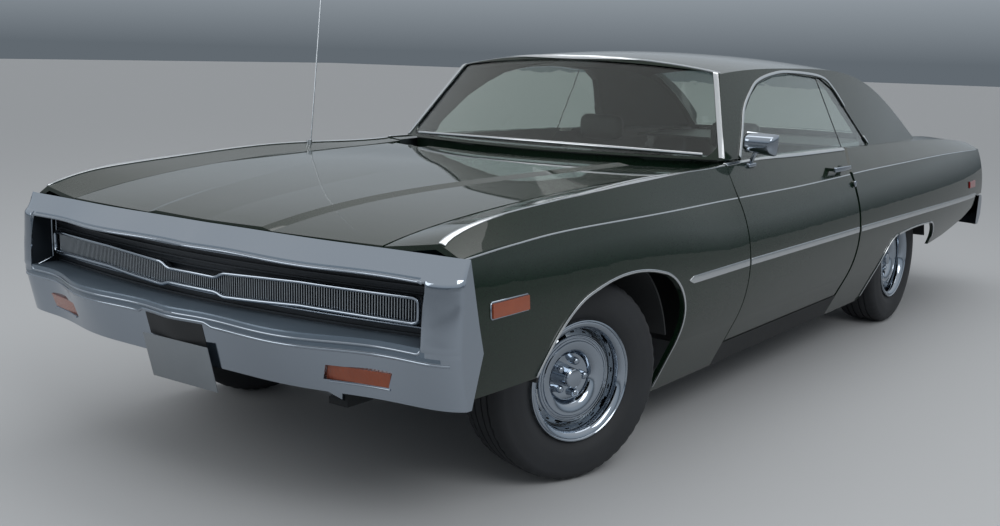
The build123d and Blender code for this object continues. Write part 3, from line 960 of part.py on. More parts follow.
nodes = {
    "front_bumper": front_bumper,
    "grille": grille,
    "headlamp_doors": headlamp_doors,
    "marker_lamps": [turn_lamp, mirrored(turn_lamp), front_marker, mirrored(front_marker)],
    "front_fenders": [fender_left, mirrored(fender_left)],
    "wheelhouses": [front_house, mirrored(front_house), rear_house, mirrored(rear_house)],
    "cowl": cowl,
    "door_hinges": [door_hinges, mirrored(door_hinges)],
    "windscreen": windscreen,
    "roof_panel": roof_shell,
    "quarter_panels": [quarter_left, mirrored(quarter_left)],
    "quarter_windows": [quarter_glass_left, mirrored(quarter_glass_left)],
    "rear_window": backlight,
    "rear_bumper": rear_bumper,
    "tail_panel": tail_panel,
    "tail_lamps": [tail_lamp, mirrored(tail_lamp), rear_marker, mirrored(rear_marker)],
    "floor_pan": floor_pan,
    "parcel_shelf": parcel_shelf,
    "frame_rails": frame_rails,
    "engine_block": engine_block + gearbox + mount_feet,
    "radiator": radiator,
    "front_suspension": front_suspension,
    "rear_axle": rear_axle,
    "driveshaft": driveshaft,
    "exhaust_system": [pipe, mirrored(pipe)],
    "fuel_tank": tank,
    "dashboard": dashboard,
    "front_seat": front_seat,
    "rear_seat": rear_seat,
    "antenna": antenna,
    "hood_panel": hood_panel,
    "decklid_panel": decklid_panel,
    "door_left": door_panel,
    "door_right": mirrored(door_panel),
    "door_glass_left": door_glass_left,
    "door_glass_right": mirrored(door_glass_left),
    "door_mirror": door_mirror,
    "steering_wheel": steering_wheel,
    "track_rod": track_rod,
    "knuckle_left": front_left * knuckle,
    "knuckle_right": front_right * mirrored(knuckle),
    "tyre_front_left": front_left * at_front * tyre,
    "rim_front_left": front_left * at_front * rim,
    "tyre_front_right": front_right * mirrored(at_front * tyre),
    "rim_front_right": front_right * mirrored(at_front * rim),
    "tyre_rear_left": rear_left * tyre,
    "rim_rear_left": rear_left * rim,
    "tyre_rear_right": mirrored(rear_left * tyre),
    "rim_rear_right": mirrored(rear_left * rim),
}

os.makedirs("parts", exist_ok=True)
for name, shape in nodes.items():
    if isinstance(shape, list):
        solids = [solid for piece in shape for solid in piece.solids()]
        shape = Compound(children=solids)
    export_step(shape, f"parts/{name}.step")
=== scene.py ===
"""A full-size two-door hardtop car: materials, trim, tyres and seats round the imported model, in metres."""
import math

import bpy
from mathutils import Matrix, Vector


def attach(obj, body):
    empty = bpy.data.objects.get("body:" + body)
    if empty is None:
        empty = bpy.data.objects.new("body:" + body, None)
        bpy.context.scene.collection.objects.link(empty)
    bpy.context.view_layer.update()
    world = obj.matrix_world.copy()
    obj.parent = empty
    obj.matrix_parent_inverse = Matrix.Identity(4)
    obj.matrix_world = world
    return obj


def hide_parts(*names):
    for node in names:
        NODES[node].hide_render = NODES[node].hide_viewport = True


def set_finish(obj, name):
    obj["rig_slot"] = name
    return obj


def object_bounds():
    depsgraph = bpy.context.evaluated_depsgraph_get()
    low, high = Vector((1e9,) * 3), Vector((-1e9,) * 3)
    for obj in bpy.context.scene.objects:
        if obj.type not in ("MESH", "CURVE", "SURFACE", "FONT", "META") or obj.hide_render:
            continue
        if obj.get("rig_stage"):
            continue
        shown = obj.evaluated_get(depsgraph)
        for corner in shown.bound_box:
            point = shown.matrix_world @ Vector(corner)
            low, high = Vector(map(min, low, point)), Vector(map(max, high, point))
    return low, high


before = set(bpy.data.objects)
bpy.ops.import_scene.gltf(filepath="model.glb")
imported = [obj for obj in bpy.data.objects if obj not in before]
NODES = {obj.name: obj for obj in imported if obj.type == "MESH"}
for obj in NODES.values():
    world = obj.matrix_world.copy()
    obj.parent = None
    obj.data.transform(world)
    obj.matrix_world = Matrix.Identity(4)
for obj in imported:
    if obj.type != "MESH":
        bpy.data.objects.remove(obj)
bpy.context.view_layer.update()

# Camera at the photograph's view: place, heading, tilt, roll and lens in that order
CAMERA_PLACE = Vector((5.0409, 2.8198, 1.3995))
HEADING, TILT, ROLL = -144.14, -10.88, 1.51
LENS, SHIFT_Y = 41.857, 0.0135

FRONT_AXLE, REAR_AXLE = 1.835, -1.315
TYRE_RADIUS = 0.345
HALF_TRACK, KINGPIN_Y, PARKED_STEER = 0.780, 0.730, -18.0


def srgb(value):
    """A hex colour as linear red, green, blue and 1."""
    parts = [int(value[i:i + 2], 16) / 255 for i in (1, 3, 5)]
    return [p / 12.92 if p <= 0.04045 else ((p + 0.055) / 1.055) ** 2.4 for p in parts] + [1.0]


def add(tree, kind, links=(), **settings):
    """One node with its settings; a link is (own input, other node, other output)."""
    node = tree.nodes.new(kind)
    for key, value in settings.items():
        if key.startswith("in_"):
            node.inputs[key[3:].replace("_", " ")].default_value = value
        else:
            setattr(node, key, value)
    for own, other, out in links:
        tree.links.new(node.inputs[own], other.outputs[out])
    return node


def surface(name, colour, roughness, metallic=0.0, **sockets):
    """A material with one Principled shader, its texture coordinates and its bump ready to use."""
    mat = bpy.data.materials.new(name)
    mat.use_nodes = True
    tree = mat.node_tree
    shader = tree.nodes["Principled BSDF"]
    shader.inputs["Base Color"].default_value = srgb(colour)
    shader.inputs["Roughness"].default_value = roughness
    shader.inputs["Metallic"].default_value = metallic
    for key, value in sockets.items():
        shader.inputs[key.replace("_", " ")].default_value = value
    coords = add(tree, "ShaderNodeTexCoord")
    return mat, tree, shader, coords


def bumped(tree, shader, pattern, out, strength, distance):
    """Bump from a pattern's output; the distance is its depth in metres."""
    bump = add(tree, "ShaderNodeBump", [("Height", pattern, out)], in_Strength=strength, in_Distance=distance)
    tree.links.new(shader.inputs["Normal"], bump.outputs["Normal"])


def grained(tree, shader, coords, scale, distance, strength):
    """A fine, irregular grain."""
    noise = add(tree, "ShaderNodeTexNoise", [("Vector", coords, "Object")], in_Scale=scale, in_Detail=3.0)
    bumped(tree, shader, noise, 0, strength, distance)


def tinted(tree, shader, coords, scale, dark, light, socket="Base Color"):
    """Slow colour or roughness variation between two values."""
    noise = add(tree, "ShaderNodeTexNoise", [("Vector", coords, "Object")], in_Scale=scale, in_Detail=4.0)
    if socket == "Base Color":
        mix = add(tree, "ShaderNodeMix", data_type="RGBA")
        tree.links.new(mix.inputs[0], noise.outputs[0])
        mix.inputs[6].default_value = srgb(dark)
        mix.inputs[7].default_value = srgb(light)
        tree.links.new(shader.inputs[socket], mix.outputs[2])
    else:
        span = add(tree, "ShaderNodeMapRange", [("Value", noise, 0)], in_To_Min=dark, in_To_Max=light)
        tree.links.new(shader.inputs[socket], span.outputs[0])


def car_enamel():
    """Dark green metallic enamel under clear coat: fine flakes, drawn 3 mm wide so that they show."""
    mat, tree, shader, coords = surface("green_metallic_enamel", "#16281c", 0.5, Coat_Weight=0.85,
                                        Coat_IOR=1.43, Coat_Roughness=0.02, Specular_IOR_Level=0.05)
    flakes = add(tree, "ShaderNodeTexVoronoi", [("Vector", coords, "Object")], in_Scale=330.0)
    ramp = add(tree, "ShaderNodeMix", data_type="RGBA")
    tree.links.new(ramp.inputs[0], flakes.outputs["Color"])
    ramp.inputs[6].default_value = srgb("#07130b")
    ramp.inputs[7].default_value = srgb("#0e2216")
    tree.links.new(shader.inputs["Base Color"], ramp.outputs[2])
    tinted(tree, shader, coords, 2.5, 0.36, 0.48, "Roughness")
    return mat


def plating():
    """Chromium plating over polished steel: mirror bright, a little hazed by age."""
    mat, tree, shader, coords = surface("chromium_plating", "#98a1ab", 0.07, 1.0)
    tinted(tree, shader, coords, 9.0, 0.04, 0.12, "Roughness")
    return mat


def bright_trim():
    """Polished stainless strip with a fine grain: softer reflections than the plating."""
    mat, tree, shader, coords = surface("stainless_trim", "#c4c8cb", 0.2, 1.0)
    grained(tree, shader, coords, 900.0, 0.0002, 0.2)
    return mat


def plain(name, colour, roughness, metallic=0.0, scale=60.0, depth=0.0004, strength=0.25, light=None):
    """A finish with a fine grain and, towards the light colour, a slow change of colour."""
    mat, tree, shader, coords = surface(name, colour, roughness, metallic)
    if light:
        tinted(tree, shader, coords, 6.0, colour, light)
    grained(tree, shader, coords, scale, depth, strength)
    return mat


def clear_glass(name, colour):
    """Float glass, 6 mm, with a faint tint."""
    mat, tree, shader, coords = surface(name, colour, 0.0, Transmission_Weight=1.0, IOR=1.45)
    tinted(tree, shader, coords, 3.0, 0.0, 0.015, "Roughness")
    return mat


def lens(name, colour, light):
    """Moulded lamp lens: clear coloured plastic with upright flutes 12 mm apart."""
    mat, tree, shader, coords = surface(name, colour, 0.12, Transmission_Weight=0.35, IOR=1.49,
                                        Coat_Weight=0.6)
    flutes = add(tree, "ShaderNodeTexWave", [("Vector", coords, "Object")], in_Scale=26.0,
                 bands_direction="Y")
    bumped(tree, shader, flutes, 0, 0.5, 0.001)
    tinted(tree, shader, coords, 14.0, colour, light)
    return mat


def rubber():
    """Tyre rubber: black, matt, finely grained, with a little road dust."""
    mat, tree, shader, coords = surface("tyre_rubber_black", "#15171a", 0.72)
    tinted(tree, shader, coords, 7.0, "#121417", "#23262a")
    grained(tree, shader, coords, 420.0, 0.0006, 0.35)
    return mat


def pleated_vinyl():
    """Seat vinyl: dark, leather grain of about 1.5 mm, a soft sheen."""
    mat, tree, shader, coords = surface("seat_vinyl_dark", "#20272a", 0.48)
    tinted(tree, shader, coords, 5.0, "#1b2124", "#2a3336")
    leather = add(tree, "ShaderNodeTexVoronoi", [("Vector", coords, "Object")], in_Scale=650.0)
    bumped(tree, shader, leather, "Distance", 0.35, 0.0005)
    return mat


ENAMEL, CHROME, TRIM = car_enamel(), plating(), bright_trim()
RUBBER, VINYL = rubber(), pleated_vinyl()
GLASS = clear_glass("tinted_float_glass", "#dfe9e4")
AMBER = lens("amber_acrylic_lens", "#8e3b15", "#a84e1e")
RED = lens("red_acrylic_lens", "#8e1216", "#a81a1e")
# Semi-gloss black enamel on die castings: soft highlights
GRILLE = plain("grille_black_enamel", "#1b2026", 0.42, 0.3, light="#262d34")
# Cast zinc with a satin plating: bright edges, dull faces
FINS = plain("die_cast_zinc_satin", "#a8afb5", 0.3, 1.0, scale=300.0)
# Sprayed bitumen underseal: rough, matt, near black
UNDERSEAL = plain("bitumen_underseal", "#17191b", 0.85, scale=160.0, depth=0.001, strength=0.6,
                  light="#232628")
# Brushed chassis paint on steel: satin black
CHASSIS = plain("chassis_black_paint", "#1c1e20", 0.5, light="#2b2d2f")
# Aluminised steel tube, browned by heat
EXHAUST = plain("aluminised_steel_pipe", "#7d7a76", 0.45, 1.0, scale=80.0, light="#5f5a55")
# Engine enamel over casting skin: blue, orange-peel gloss
ENGINE = plain("engine_enamel_blue", "#2d5a6c", 0.4, scale=120.0, light="#274e5e")
# Moulded dashboard vinyl: fine leather grain, no glare
DASH = plain("dash_vinyl_black", "#1b1f21", 0.55, scale=520.0, depth=0.0005, strength=0.4, light="#23282a")
# Embossed vinyl on board and headlining: dark, low sheen
CARD = plain("door_card_vinyl", "#22292b", 0.5, scale=520.0, depth=0.0003, strength=0.12, light="#2b3336")
# Silver wheel lacquer on pressed steel: bright satin
RIM = plain("rally_wheel_silver", "#b9c0c6", 0.22, 0.9, scale=200.0)
# Painted shade in the wheel's slots and in the recess behind the number plate: matt near black
PAINTED_SHADE = plain("slot_and_recess_painted_shade", "#14171a", 0.6)
# Silvered mirror glass: a clean reflection
MIRROR = plain("silvered_mirror_glass", "#c8ced2", 0.02, 1.0, scale=20.0, depth=0.0001, strength=0.05)
# Blank pressed plate: grey enamel on aluminium
PLATE = plain("blank_plate_enamel", "#6d7378", 0.4, 0.2, light="#7b8186")
# Painted reflection of the dark ground on the chrome bumper's ledge and lip face, and painted shade in its
# grooves: grey with a metallic glow
LEDGE_SHADE = plain("bumper_ledge_painted_shade", "#56636f", 0.3, 0.4, scale=300.0, light="#687683")
# Loop pile carpet: soft, dark, no gloss
CARPET = plain("loop_pile_carpet", "#1d2224", 0.95, scale=700.0, depth=0.002, strength=0.7, light="#2a3032")

FINISH = {
    "front_fenders": ENAMEL, "quarter_panels": ENAMEL, "roof_panel": ENAMEL, "hood_panel": ENAMEL,
    "decklid_panel": ENAMEL, "door_left": ENAMEL, "door_right": ENAMEL, "cowl": ENAMEL, "door_hinges": ENAMEL,
    "tail_panel": ENAMEL, "front_bumper": CHROME, "rear_bumper": CHROME, "headlamp_doors": CHROME,
    "door_mirror": CHROME, "grille": GRILLE, "marker_lamps": AMBER, "tail_lamps": RED, "windscreen": GLASS,
    "rear_window": GLASS, "quarter_windows": GLASS, "door_glass_left": GLASS, "door_glass_right": GLASS,
    "floor_pan": UNDERSEAL, "frame_rails": UNDERSEAL, "wheelhouses": UNDERSEAL, "fuel_tank": CHASSIS,
    "parcel_shelf": ENAMEL, "front_suspension": CHASSIS, "rear_axle": CHASSIS, "driveshaft": CHASSIS,
    "knuckle_left": CHASSIS, "knuckle_right": CHASSIS, "track_rod": CHASSIS, "exhaust_system": EXHAUST,
    "engine_block": ENGINE, "radiator": CHASSIS, "dashboard": DASH, "steering_wheel": DASH,
    "front_seat": VINYL, "rear_seat": VINYL, "antenna": TRIM, "tyre_front_left": RUBBER,
    "tyre_front_right": RUBBER, "tyre_rear_left": RUBBER, "tyre_rear_right": RUBBER, "rim_front_left": RIM,
    "rim_front_right": RIM, "rim_rear_left": RIM, "rim_rear_right": RIM,
}
for node_name, finish in FINISH.items():
    if node_name in NODES:
        mesh = NODES[node_name].data
        mesh.materials.clear()
        mesh.materials.append(finish)


def face_finish(node_name, finish, wanted):
    """Gives the faces of a CAD node that a test picks a second finish."""
    mesh = NODES[node_name].data
    mesh.materials.append(finish)
    for face in mesh.polygons:
        if wanted(face.center, face.normal):
            face.material_index = len(mesh.materials) - 1


SIDES = ((1, "left"), (-1, "right"))
# Faces turned to the cabin: door cards, headlining, side trim, shelf and carpet; and the cowl's underside
for side, tag in SIDES:
    face_finish("door_" + tag, CARD, lambda c, n: n.y * side < -0.8 and abs(c.y) < 0.83)
face_finish("floor_pan", CARPET, lambda c, n: n.z > 0.5 and -0.9 < c.x < 0.9 and abs(c.y) < 0.8)
CABIN_MIDDLE = Vector((-0.35, 0.0, 1.00))
face_finish("roof_panel", CARD, lambda c, n: (c - CABIN_MIDDLE).dot(n) < -0.02)
face_finish("quarter_panels", CARD,
            lambda c, n: -1.75 < c.x < -0.38 and c.z > 0.45 and n.y * c.y < 0 and abs(n.y) > 0.5)
face_finish("parcel_shelf", CARD, lambda c, n: c.x > -1.84)
face_finish("cowl", UNDERSEAL, lambda c, n: c.z < 0.93 and abs(c.y) < 0.9)


def alone(obj):
    """Makes a piece the only selected and the active one."""
    bpy.ops.object.select_all(action="DESELECT")
    obj.select_set(True)
    bpy.context.view_layer.objects.active = obj


def in_edit(obj, *steps):
    """Runs edit mode operators on all of a piece's faces."""
    alone(obj)
    bpy.ops.object.mode_set(mode="EDIT")
    bpy.ops.mesh.select_all(action="SELECT")
    for step in steps:
        step()
    bpy.ops.object.mode_set(mode="OBJECT")


def modified(obj, kind, **settings):
    """Adds one modifier and applies it."""
    alone(obj)
    modifier = obj.modifiers.new(kind.lower(), kind)
    for key, value in settings.items():
        setattr(modifier, key, value)
    bpy.ops.object.modifier_apply(modifier=modifier.name)


def settled(obj, name, finish, body, slot, smooth=35):
    """Names a piece, puts its place in its mesh, finishes and smooths it and hangs it on its body."""
    alone(obj)
    bpy.ops.object.transform_apply(location=True, rotation=True, scale=True)
    obj.name = name
    obj.data.materials.clear()
    obj.data.materials.append(finish)
    bpy.ops.object.shade_smooth_by_angle(angle=math.radians(smooth))
    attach(obj, body)
    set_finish(obj, slot)
    return obj


def far_side(obj, name, body):
    """The same piece on the other side of the car, with a mesh of its own."""
    twin = obj.copy()
    twin.data = obj.data.copy()
    twin.parent = None
    bpy.context.scene.collection.objects.link(twin)
    twin.data.transform(Matrix.Scale(-1, 4, (0, 1, 0)))
    in_edit(twin, bpy.ops.mesh.flip_normals)
    twin.name = name
    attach(twin, body)
    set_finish(twin, obj["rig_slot"])
    return twin


def along(knots, count):
    """Points at even parts of a smooth line through the knots."""
    pts = [Vector(k) for k in knots]
    spans = len(pts) - 1
    line = []
    for step in range(count + 1):
        place = step * spans / count
        i = min(int(place), spans - 1)
        t = place - i
        a, b, c, d = (pts[max(0, min(spans, i + k))] for k in (-1, 0, 1, 2))
        curve = (2 * a - 5 * b + 4 * c - d) * t * t + (3 * b - a - 3 * c + d) * t ** 3
        line.append(0.5 * (2 * b + (c - a) * t + curve))
    return line


def ribbon(line, across, width):
    """A grid primitive laid along a line, two cells wide, and the line's step for each of its points."""
    count = len(line) - 1
    bpy.ops.object.select_all(action="DESELECT")
    bpy.ops.mesh.primitive_grid_add(x_subdivisions=count, y_subdivisions=2, size=1)
    obj = bpy.context.active_object
    steps = [round((vertex.co.x + 0.5) * count) for vertex in obj.data.vertices]
    for vertex, step in zip(obj.data.vertices, steps):
        vertex.co = line[step] + across(step) * (vertex.co.y * width)
    return obj, steps


LIFT = 0.1  # how far off its panel a strip starts before it is laid down
PROUD = 0.003  # how far the wide side mouldings stand out of the body
POINT_STEPS = 9  # how many steps of a strip its pointed end takes
REACH = 0.26  # a strip's point that moves further than this has missed its panel
FACING = {"X": Vector((1, 0, 0)), "Y": Vector((0, 1, 0)), "Z": Vector((0, 0, 1)),
          "XZ": Vector((1, 0, 1)).normalized()}


def trim_on(name, knots, width, height, panel, body, count, facing="Y", pointed=False):
    """A bright strip laid on a panel near its knots, and cut where it would leave the panel."""
    out = FACING[facing]
    line = [point + out * LIFT for point in along(knots, count)]

    def across(i):
        """The direction of the strip's width at a step."""
        return (line[min(len(line) - 1, i + 1)] - line[max(0, i - 1)]).cross(out).normalized()

    obj, steps = ribbon(line, across, width)
    before = [vertex.co.copy() for vertex in obj.data.vertices]
    modified(obj, "SHRINKWRAP", target=NODES[panel], wrap_method="PROJECT", use_project_x="X" in facing,
             use_project_y="Y" in facing, use_project_z="Z" in facing, use_negative_direction=True,
             use_positive_direction=False)
    moves = [(vertex.co - start).length for vertex, start in zip(obj.data.vertices, before)]
    missed = {step for step, move in zip(steps, moves) if move < 0.0001 or move > REACH}
    if missed:
        in_edit(obj, lambda: bpy.ops.mesh.select_all(action="DESELECT"))
        for vertex, step in zip(obj.data.vertices, steps):
            vertex.select = step in missed
        bpy.ops.object.mode_set(mode="EDIT")
        bpy.ops.mesh.delete(type="VERT")
        bpy.ops.object.mode_set(mode="OBJECT")
    if obj.data.polygons[len(obj.data.polygons) // 2].normal.dot(out) < 0:
        in_edit(obj, bpy.ops.mesh.flip_normals)
    if pointed:
        for vertex, step in zip(obj.data.vertices, steps):
            if step < POINT_STEPS:
                vertex.co.z += (knots[0][2] - vertex.co.z) * (1 - step / POINT_STEPS) * 0.9
    modified(obj, "SOLIDIFY", thickness=height, offset=1.0 if height < 0.01 else 2 * PROUD / height - 1)
    modified(obj, "BEVEL", width=min(width, height) * 0.3, segments=2, limit_method="ANGLE",
             angle_limit=math.radians(50))
    return settled(obj, name, TRIM, body, "bumper_chrome")


def surface_at(node_name, start, direction):
    """The first point of a CAD node along a line."""
    found = NODES[node_name].ray_cast(Vector(start), Vector(direction))
    return found[1] if found[0] else None


BESIDE, SIDE_Y = 1.2, 0.85  # where rays start beside the car, and the least y of its side
# Search for a wheel opening's edge: least and greatest radius, coarse step and halvings of it
ARCH_LEAST, ARCH_MOST, ARCH_STEP, ARCH_HALVINGS = 0.20, 0.60, 0.01, 8
ARCH_OFF, ARCH_KNOTS = 0.0068, 70  # the lip's middle line outside that edge, and its knots


def on_panel(panel, centre, angle, reach):
    """Whether the panel's side is met at a distance from a wheel opening's centre."""
    x, z = centre[0] + reach * math.cos(angle), centre[1] + reach * math.sin(angle)
    place = surface_at(panel, (x, BESIDE, z), (0, -1, 0))
    return bool(place and place.y > SIDE_Y)


def round_arch(panel, centre, first, last):
    """Knots just outside a wheel opening's edge, found from its centre outward at each angle in degrees."""
    knots = []
    for step in range(ARCH_KNOTS + 1):
        angle = math.radians(first + (last - first) * step / ARCH_KNOTS)
        low, high = ARCH_LEAST, ARCH_LEAST
        while high < ARCH_MOST and not on_panel(panel, centre, angle, high):
            low, high = high, high + ARCH_STEP
        if high >= ARCH_MOST:
            continue
        for _ in range(ARCH_HALVINGS):
            middle = (low + high) / 2
            if on_panel(panel, centre, angle, middle):
                high = middle
            else:
                low = middle
        reach = high + ARCH_OFF
        knots.append((centre[0] + reach * math.cos(angle), 1.0, centre[1] + reach * math.sin(angle)))
    return tuple(knots)


FRONT_ARCH = round_arch("front_fenders", (1.80, 0.42), 206, 5)
REAR_ARCH = round_arch("quarter_panels", (-1.27, 0.30), -11, 162)
# Bright strips on the left: name, panel, body, body on the right, facing, width, height and knots
SIDE_STRIPS = (
    ("fender_peak_strip", "front_fenders", "root", "root", "Z", 0.020, 0.004,
     ((2.660, 0.902, 0.905), (2.600, 0.895, 0.916), (2.400, 0.901, 0.949), (2.050, 0.907, 0.971),
      (1.650, 0.898, 0.982), (1.250, 0.883, 0.992), (0.884, 0.868, 0.995))),
    ("door_belt_strip", "door_left", "door_l", "door_r", "Z", 0.016, 0.005,
     ((0.868, 0.868, 0.99), (0.500, 0.852, 0.98), (0.000, 0.845, 0.96), (-0.536, 0.840, 0.95))),
    ("fender_line_strip", "front_fenders", "root", "root", "Y", 0.005, 0.002,
     ((2.640, 1.0, 0.858), (2.400, 1.0, 0.872), (2.050, 1.0, 0.881), (1.250, 1.0, 0.873),
      (0.882, 1.0, 0.872))),
    ("door_line_strip", "door_left", "door_l", "door_r", "Y", 0.005, 0.002,
     ((0.866, 1.0, 0.872), (0.250, 1.0, 0.871), (-0.360, 1.0, 0.879))),
    ("quarter_line_strip", "quarter_panels", "root", "root", "Y", 0.005, 0.002,
     ((-0.380, 1.0, 0.880), (-0.850, 1.0, 0.885), (-1.900, 1.0, 0.887), (-2.750, 1.0, 0.873))),
    ("fender_moulding", "front_fenders", "root", "root", "Y", 0.028, 0.011,
     ((1.385, 1.0, 0.628), (0.884, 1.0, 0.630))),
    ("door_moulding", "door_left", "door_l", "door_r", "Y", 0.028, 0.011,
     ((0.864, 1.0, 0.630), (-0.360, 1.0, 0.626))),
    ("quarter_moulding", "quarter_panels", "root", "root", "Y", 0.028, 0.011,
     ((-0.378, 1.0, 0.626), (-1.500, 1.0, 0.617), (-2.690, 1.0, 0.600))),
    ("front_arch_lip", "front_fenders", "root", "root", "Y", 0.009, 0.006, FRONT_ARCH),
    ("rear_arch_lip", "quarter_panels", "root", "root", "Y", 0.009, 0.006, REAR_ARCH),
)
for name, panel, body, far_body, facing, width, height, knots in SIDE_STRIPS:
    strip = trim_on(name + "_left", knots, width, height, panel, body, max(90, 2 * len(knots)),
                    facing=facing, pointed=name == "fender_moulding")
    far_side(strip, name + "_right", far_body)

# Bright moulding round the side windows, on the roof panel's pillars and its edge over the doors
window_edge = ((0.652, 0.834, 1.004), (0.554, 0.790, 1.098), (0.453, 0.748, 1.197), (0.340, 0.720, 1.263),
               (0.228, 0.697, 1.309), (0.037, 0.688, 1.339), (-0.170, 0.684, 1.347), (-0.545, 0.687, 1.326),
               (-0.680, 0.700, 1.268), (-0.800, 0.755, 1.130), (-0.934, 0.812, 0.992))
strip = trim_on("side_window_moulding_left", window_edge, 0.012, 0.005, "roof_panel", "root", 120)
far_side(strip, "side_window_moulding_right", "root")

# Bright moulding round the windscreen, from pillar foot to pillar foot
screen_edge = ((0.785, 0.813, 1.010), (0.672, 0.734, 1.180), (0.566, 0.661, 1.330), (0.560, 0.640, 1.352),
               (0.585, 0.400, 1.372), (0.637, 0.000, 1.388))
screen_edge += tuple((x, -y, z) for x, y, z in screen_edge[-2::-1])
trim_on("windscreen_moulding", screen_edge, 0.020, 0.005, "roof_panel", "root", 180, facing="XZ")


def slab(low, high, bevel, segments=3, taper=None):
    """A cube primitive sized to two corners, tapered if asked, with rounded edges."""
    bpy.ops.object.select_all(action="DESELECT")
    middle = [(a + b) / 2 for a, b in zip(low, high)]
    bpy.ops.mesh.primitive_cube_add(size=1, location=middle, scale=[b - a for a, b in zip(low, high)])
    obj = bpy.context.active_object
    bpy.ops.object.transform_apply(location=True, rotation=True, scale=True)
    if taper:
        taper(obj)
    modified(obj, "BEVEL", width=bevel, segments=segments, limit_method="ANGLE", angle_limit=math.radians(30))
    return obj


NOSE, AHEAD = 2.850, 3.2  # the front of the CAD model, and where rays start in front of it
# The upper bar's edge: how far behind the nose in the middle, and how much further at the opening's ends
BAR_BACK, BAR_BOW, OPENING_HALF = 0.078, 0.098, 0.9


def bumper_x(y, z):
    """How far forward the bumper's face is."""
    place = surface_at("front_bumper", (AHEAD, y, z), (-1, 0, 0))
    return place.x if place else NOSE - 0.2


def grille_x(y):
    """The bumper's front edge above the grille."""
    return NOSE - BAR_BACK - BAR_BOW * (abs(y) / OPENING_HALF) ** 1.8


def sheet_through(rows):
    """A grid primitive whose points are moved to rows of points, all rows equally long."""
    bpy.ops.object.select_all(action="DESELECT")
    bpy.ops.mesh.primitive_grid_add(x_subdivisions=len(rows) - 1, y_subdivisions=len(rows[0]) - 1, size=1)
    obj = bpy.context.active_object
    for vertex in obj.data.vertices:
        i = round((vertex.co.x + 0.5) * (len(rows) - 1))
        j = round((vertex.co.y + 0.5) * (len(rows[0]) - 1))
        vertex.co = rows[i][j]
    return obj


BEAD_PAST_NOSE = 0.0006  # the most that a bead passes the front of the CAD model


def rod(name, line, radius, body="root", finish=CHROME, sides=10, closed=False, flat=1.0, facing="X"):
    """A round bead along a line of points, its ends filled; flat is its height over its depth."""
    rows = []
    count = len(line)
    for i, point in enumerate(line):
        before = line[(i - 1) % count] if closed else line[max(0, i - 1)]
        after = line[(i + 1) % count] if closed else line[min(count - 1, i + 1)]
        run = (Vector(after) - Vector(before)).normalized()
        side = run.cross(FACING[facing]).normalized()
        other = side.cross(run)
        rows.append([Vector(point) + side * (radius * flat * math.cos(2 * math.pi * k / sides))
                     + other * (radius * math.sin(2 * math.pi * k / sides)) for k in range(sides + 1)])
    if closed:
        rows.append(rows[0])
    obj = sheet_through(rows)
    for vertex in obj.data.vertices:
        vertex.co.x = min(vertex.co.x, NOSE + BEAD_PAST_NOSE)
    in_edit(obj, lambda: bpy.ops.mesh.remove_doubles(threshold=0.00005),
            lambda: bpy.ops.mesh.fill_holes(sides=0),
            lambda: bpy.ops.mesh.normals_make_consistent(inside=False))
    return settled(obj, name, finish, body, "bumper_chrome", smooth=50)


def across_car(half, count):
    """Even places from right to left across the car."""
    return [-half + 2 * half * k / count for k in range(count + 1)]


def in_front(points, proud):
    """Points of y and z laid on the bumper's face."""
    return [Vector((bumper_x(y, z) + proud, y, z)) for y, z in points]


def behind_bar(points, back):
    """Points of y and z, a distance behind the edge of the bumper's upper bar."""
    return [Vector((grille_x(y) - back, y, z)) for y, z in points]


def round_loop(half, count, there, back, end):
    """A loop of y and z: across the car at one height, round an end, and back at the other height."""
    loop = [(y, there(y)) for y in across_car(half, count)] + list(end)
    return loop + [(-y, back(y)) for y in across_car(half, count)] + [(-y, z) for y, z in reversed(end)]


def shade_band(name, half, heights, finish, count=120, proud=0.0005, thickness=0.0006):
    """A thin band of painted shade on the bumper's face, between heights."""
    strip = sheet_through([in_front([(y, z) for z in heights], proud) for y in across_car(half, count)])
    modified(strip, "SOLIDIFY", thickness=thickness, offset=0.0)
    settled(strip, name, finish, "root", "grille_enamel")


# Bright moulding along the windscreen's foot: its height in the middle, and the fall to the glass's corners
SILL_Z, SILL_FALL, GLASS_HALF = 1.034, 0.016, 0.826
sill_line = []
for y in across_car(0.790, 60):
    z = SILL_Z - SILL_FALL * (y / GLASS_HALF) ** 2
    place = surface_at("windscreen", (2.0, y, z), (-1, 0, 0))
    if place:
        sill_line.append(Vector((place.x + 0.002, y, z)))
rod("windscreen_sill_moulding", sill_line, 0.006, finish=TRIM, flat=1.3)

# Painted reflection of the dark ground on the ledge between the grille and the lip, and on the lip's face
face_finish("front_bumper", LEDGE_SHADE,
            lambda c, n: abs(c.y) < 0.905 and 0.590 < c.z < 0.640 and (n.z > 0.3 or c.z > 0.5985))
# Painted shade in the grille opening: the bumper's faces there that do not face forward take the grille's
# black
face_finish("front_bumper", GRILLE, lambda c, n: abs(c.y) < 0.905 and 0.622 < c.z < 0.800 and n.x < 0.2)

# Double bright line of the lip: the lower rises over the number plate, the upper goes round the opening
LIP_Z, PLATE_RISE = 0.580, 0.011
RISE_FROM, RISE_OVER = 0.172, 0.025  # where the rise over the plate begins, and how long its slope is
OPENING_LOW_Z, OPENING_TOP_Z = 0.604, 0.799
SUNK = -0.001  # a bead's middle lies this far inside the bumper's face
outer = [(y, LIP_Z + PLATE_RISE * min(1.0, max(0.0, (RISE_FROM - abs(y)) / RISE_OVER)))
         for y in across_car(0.975, 150)]
rod("lip_bead_outer", in_front(outer, SUNK), 0.0048)
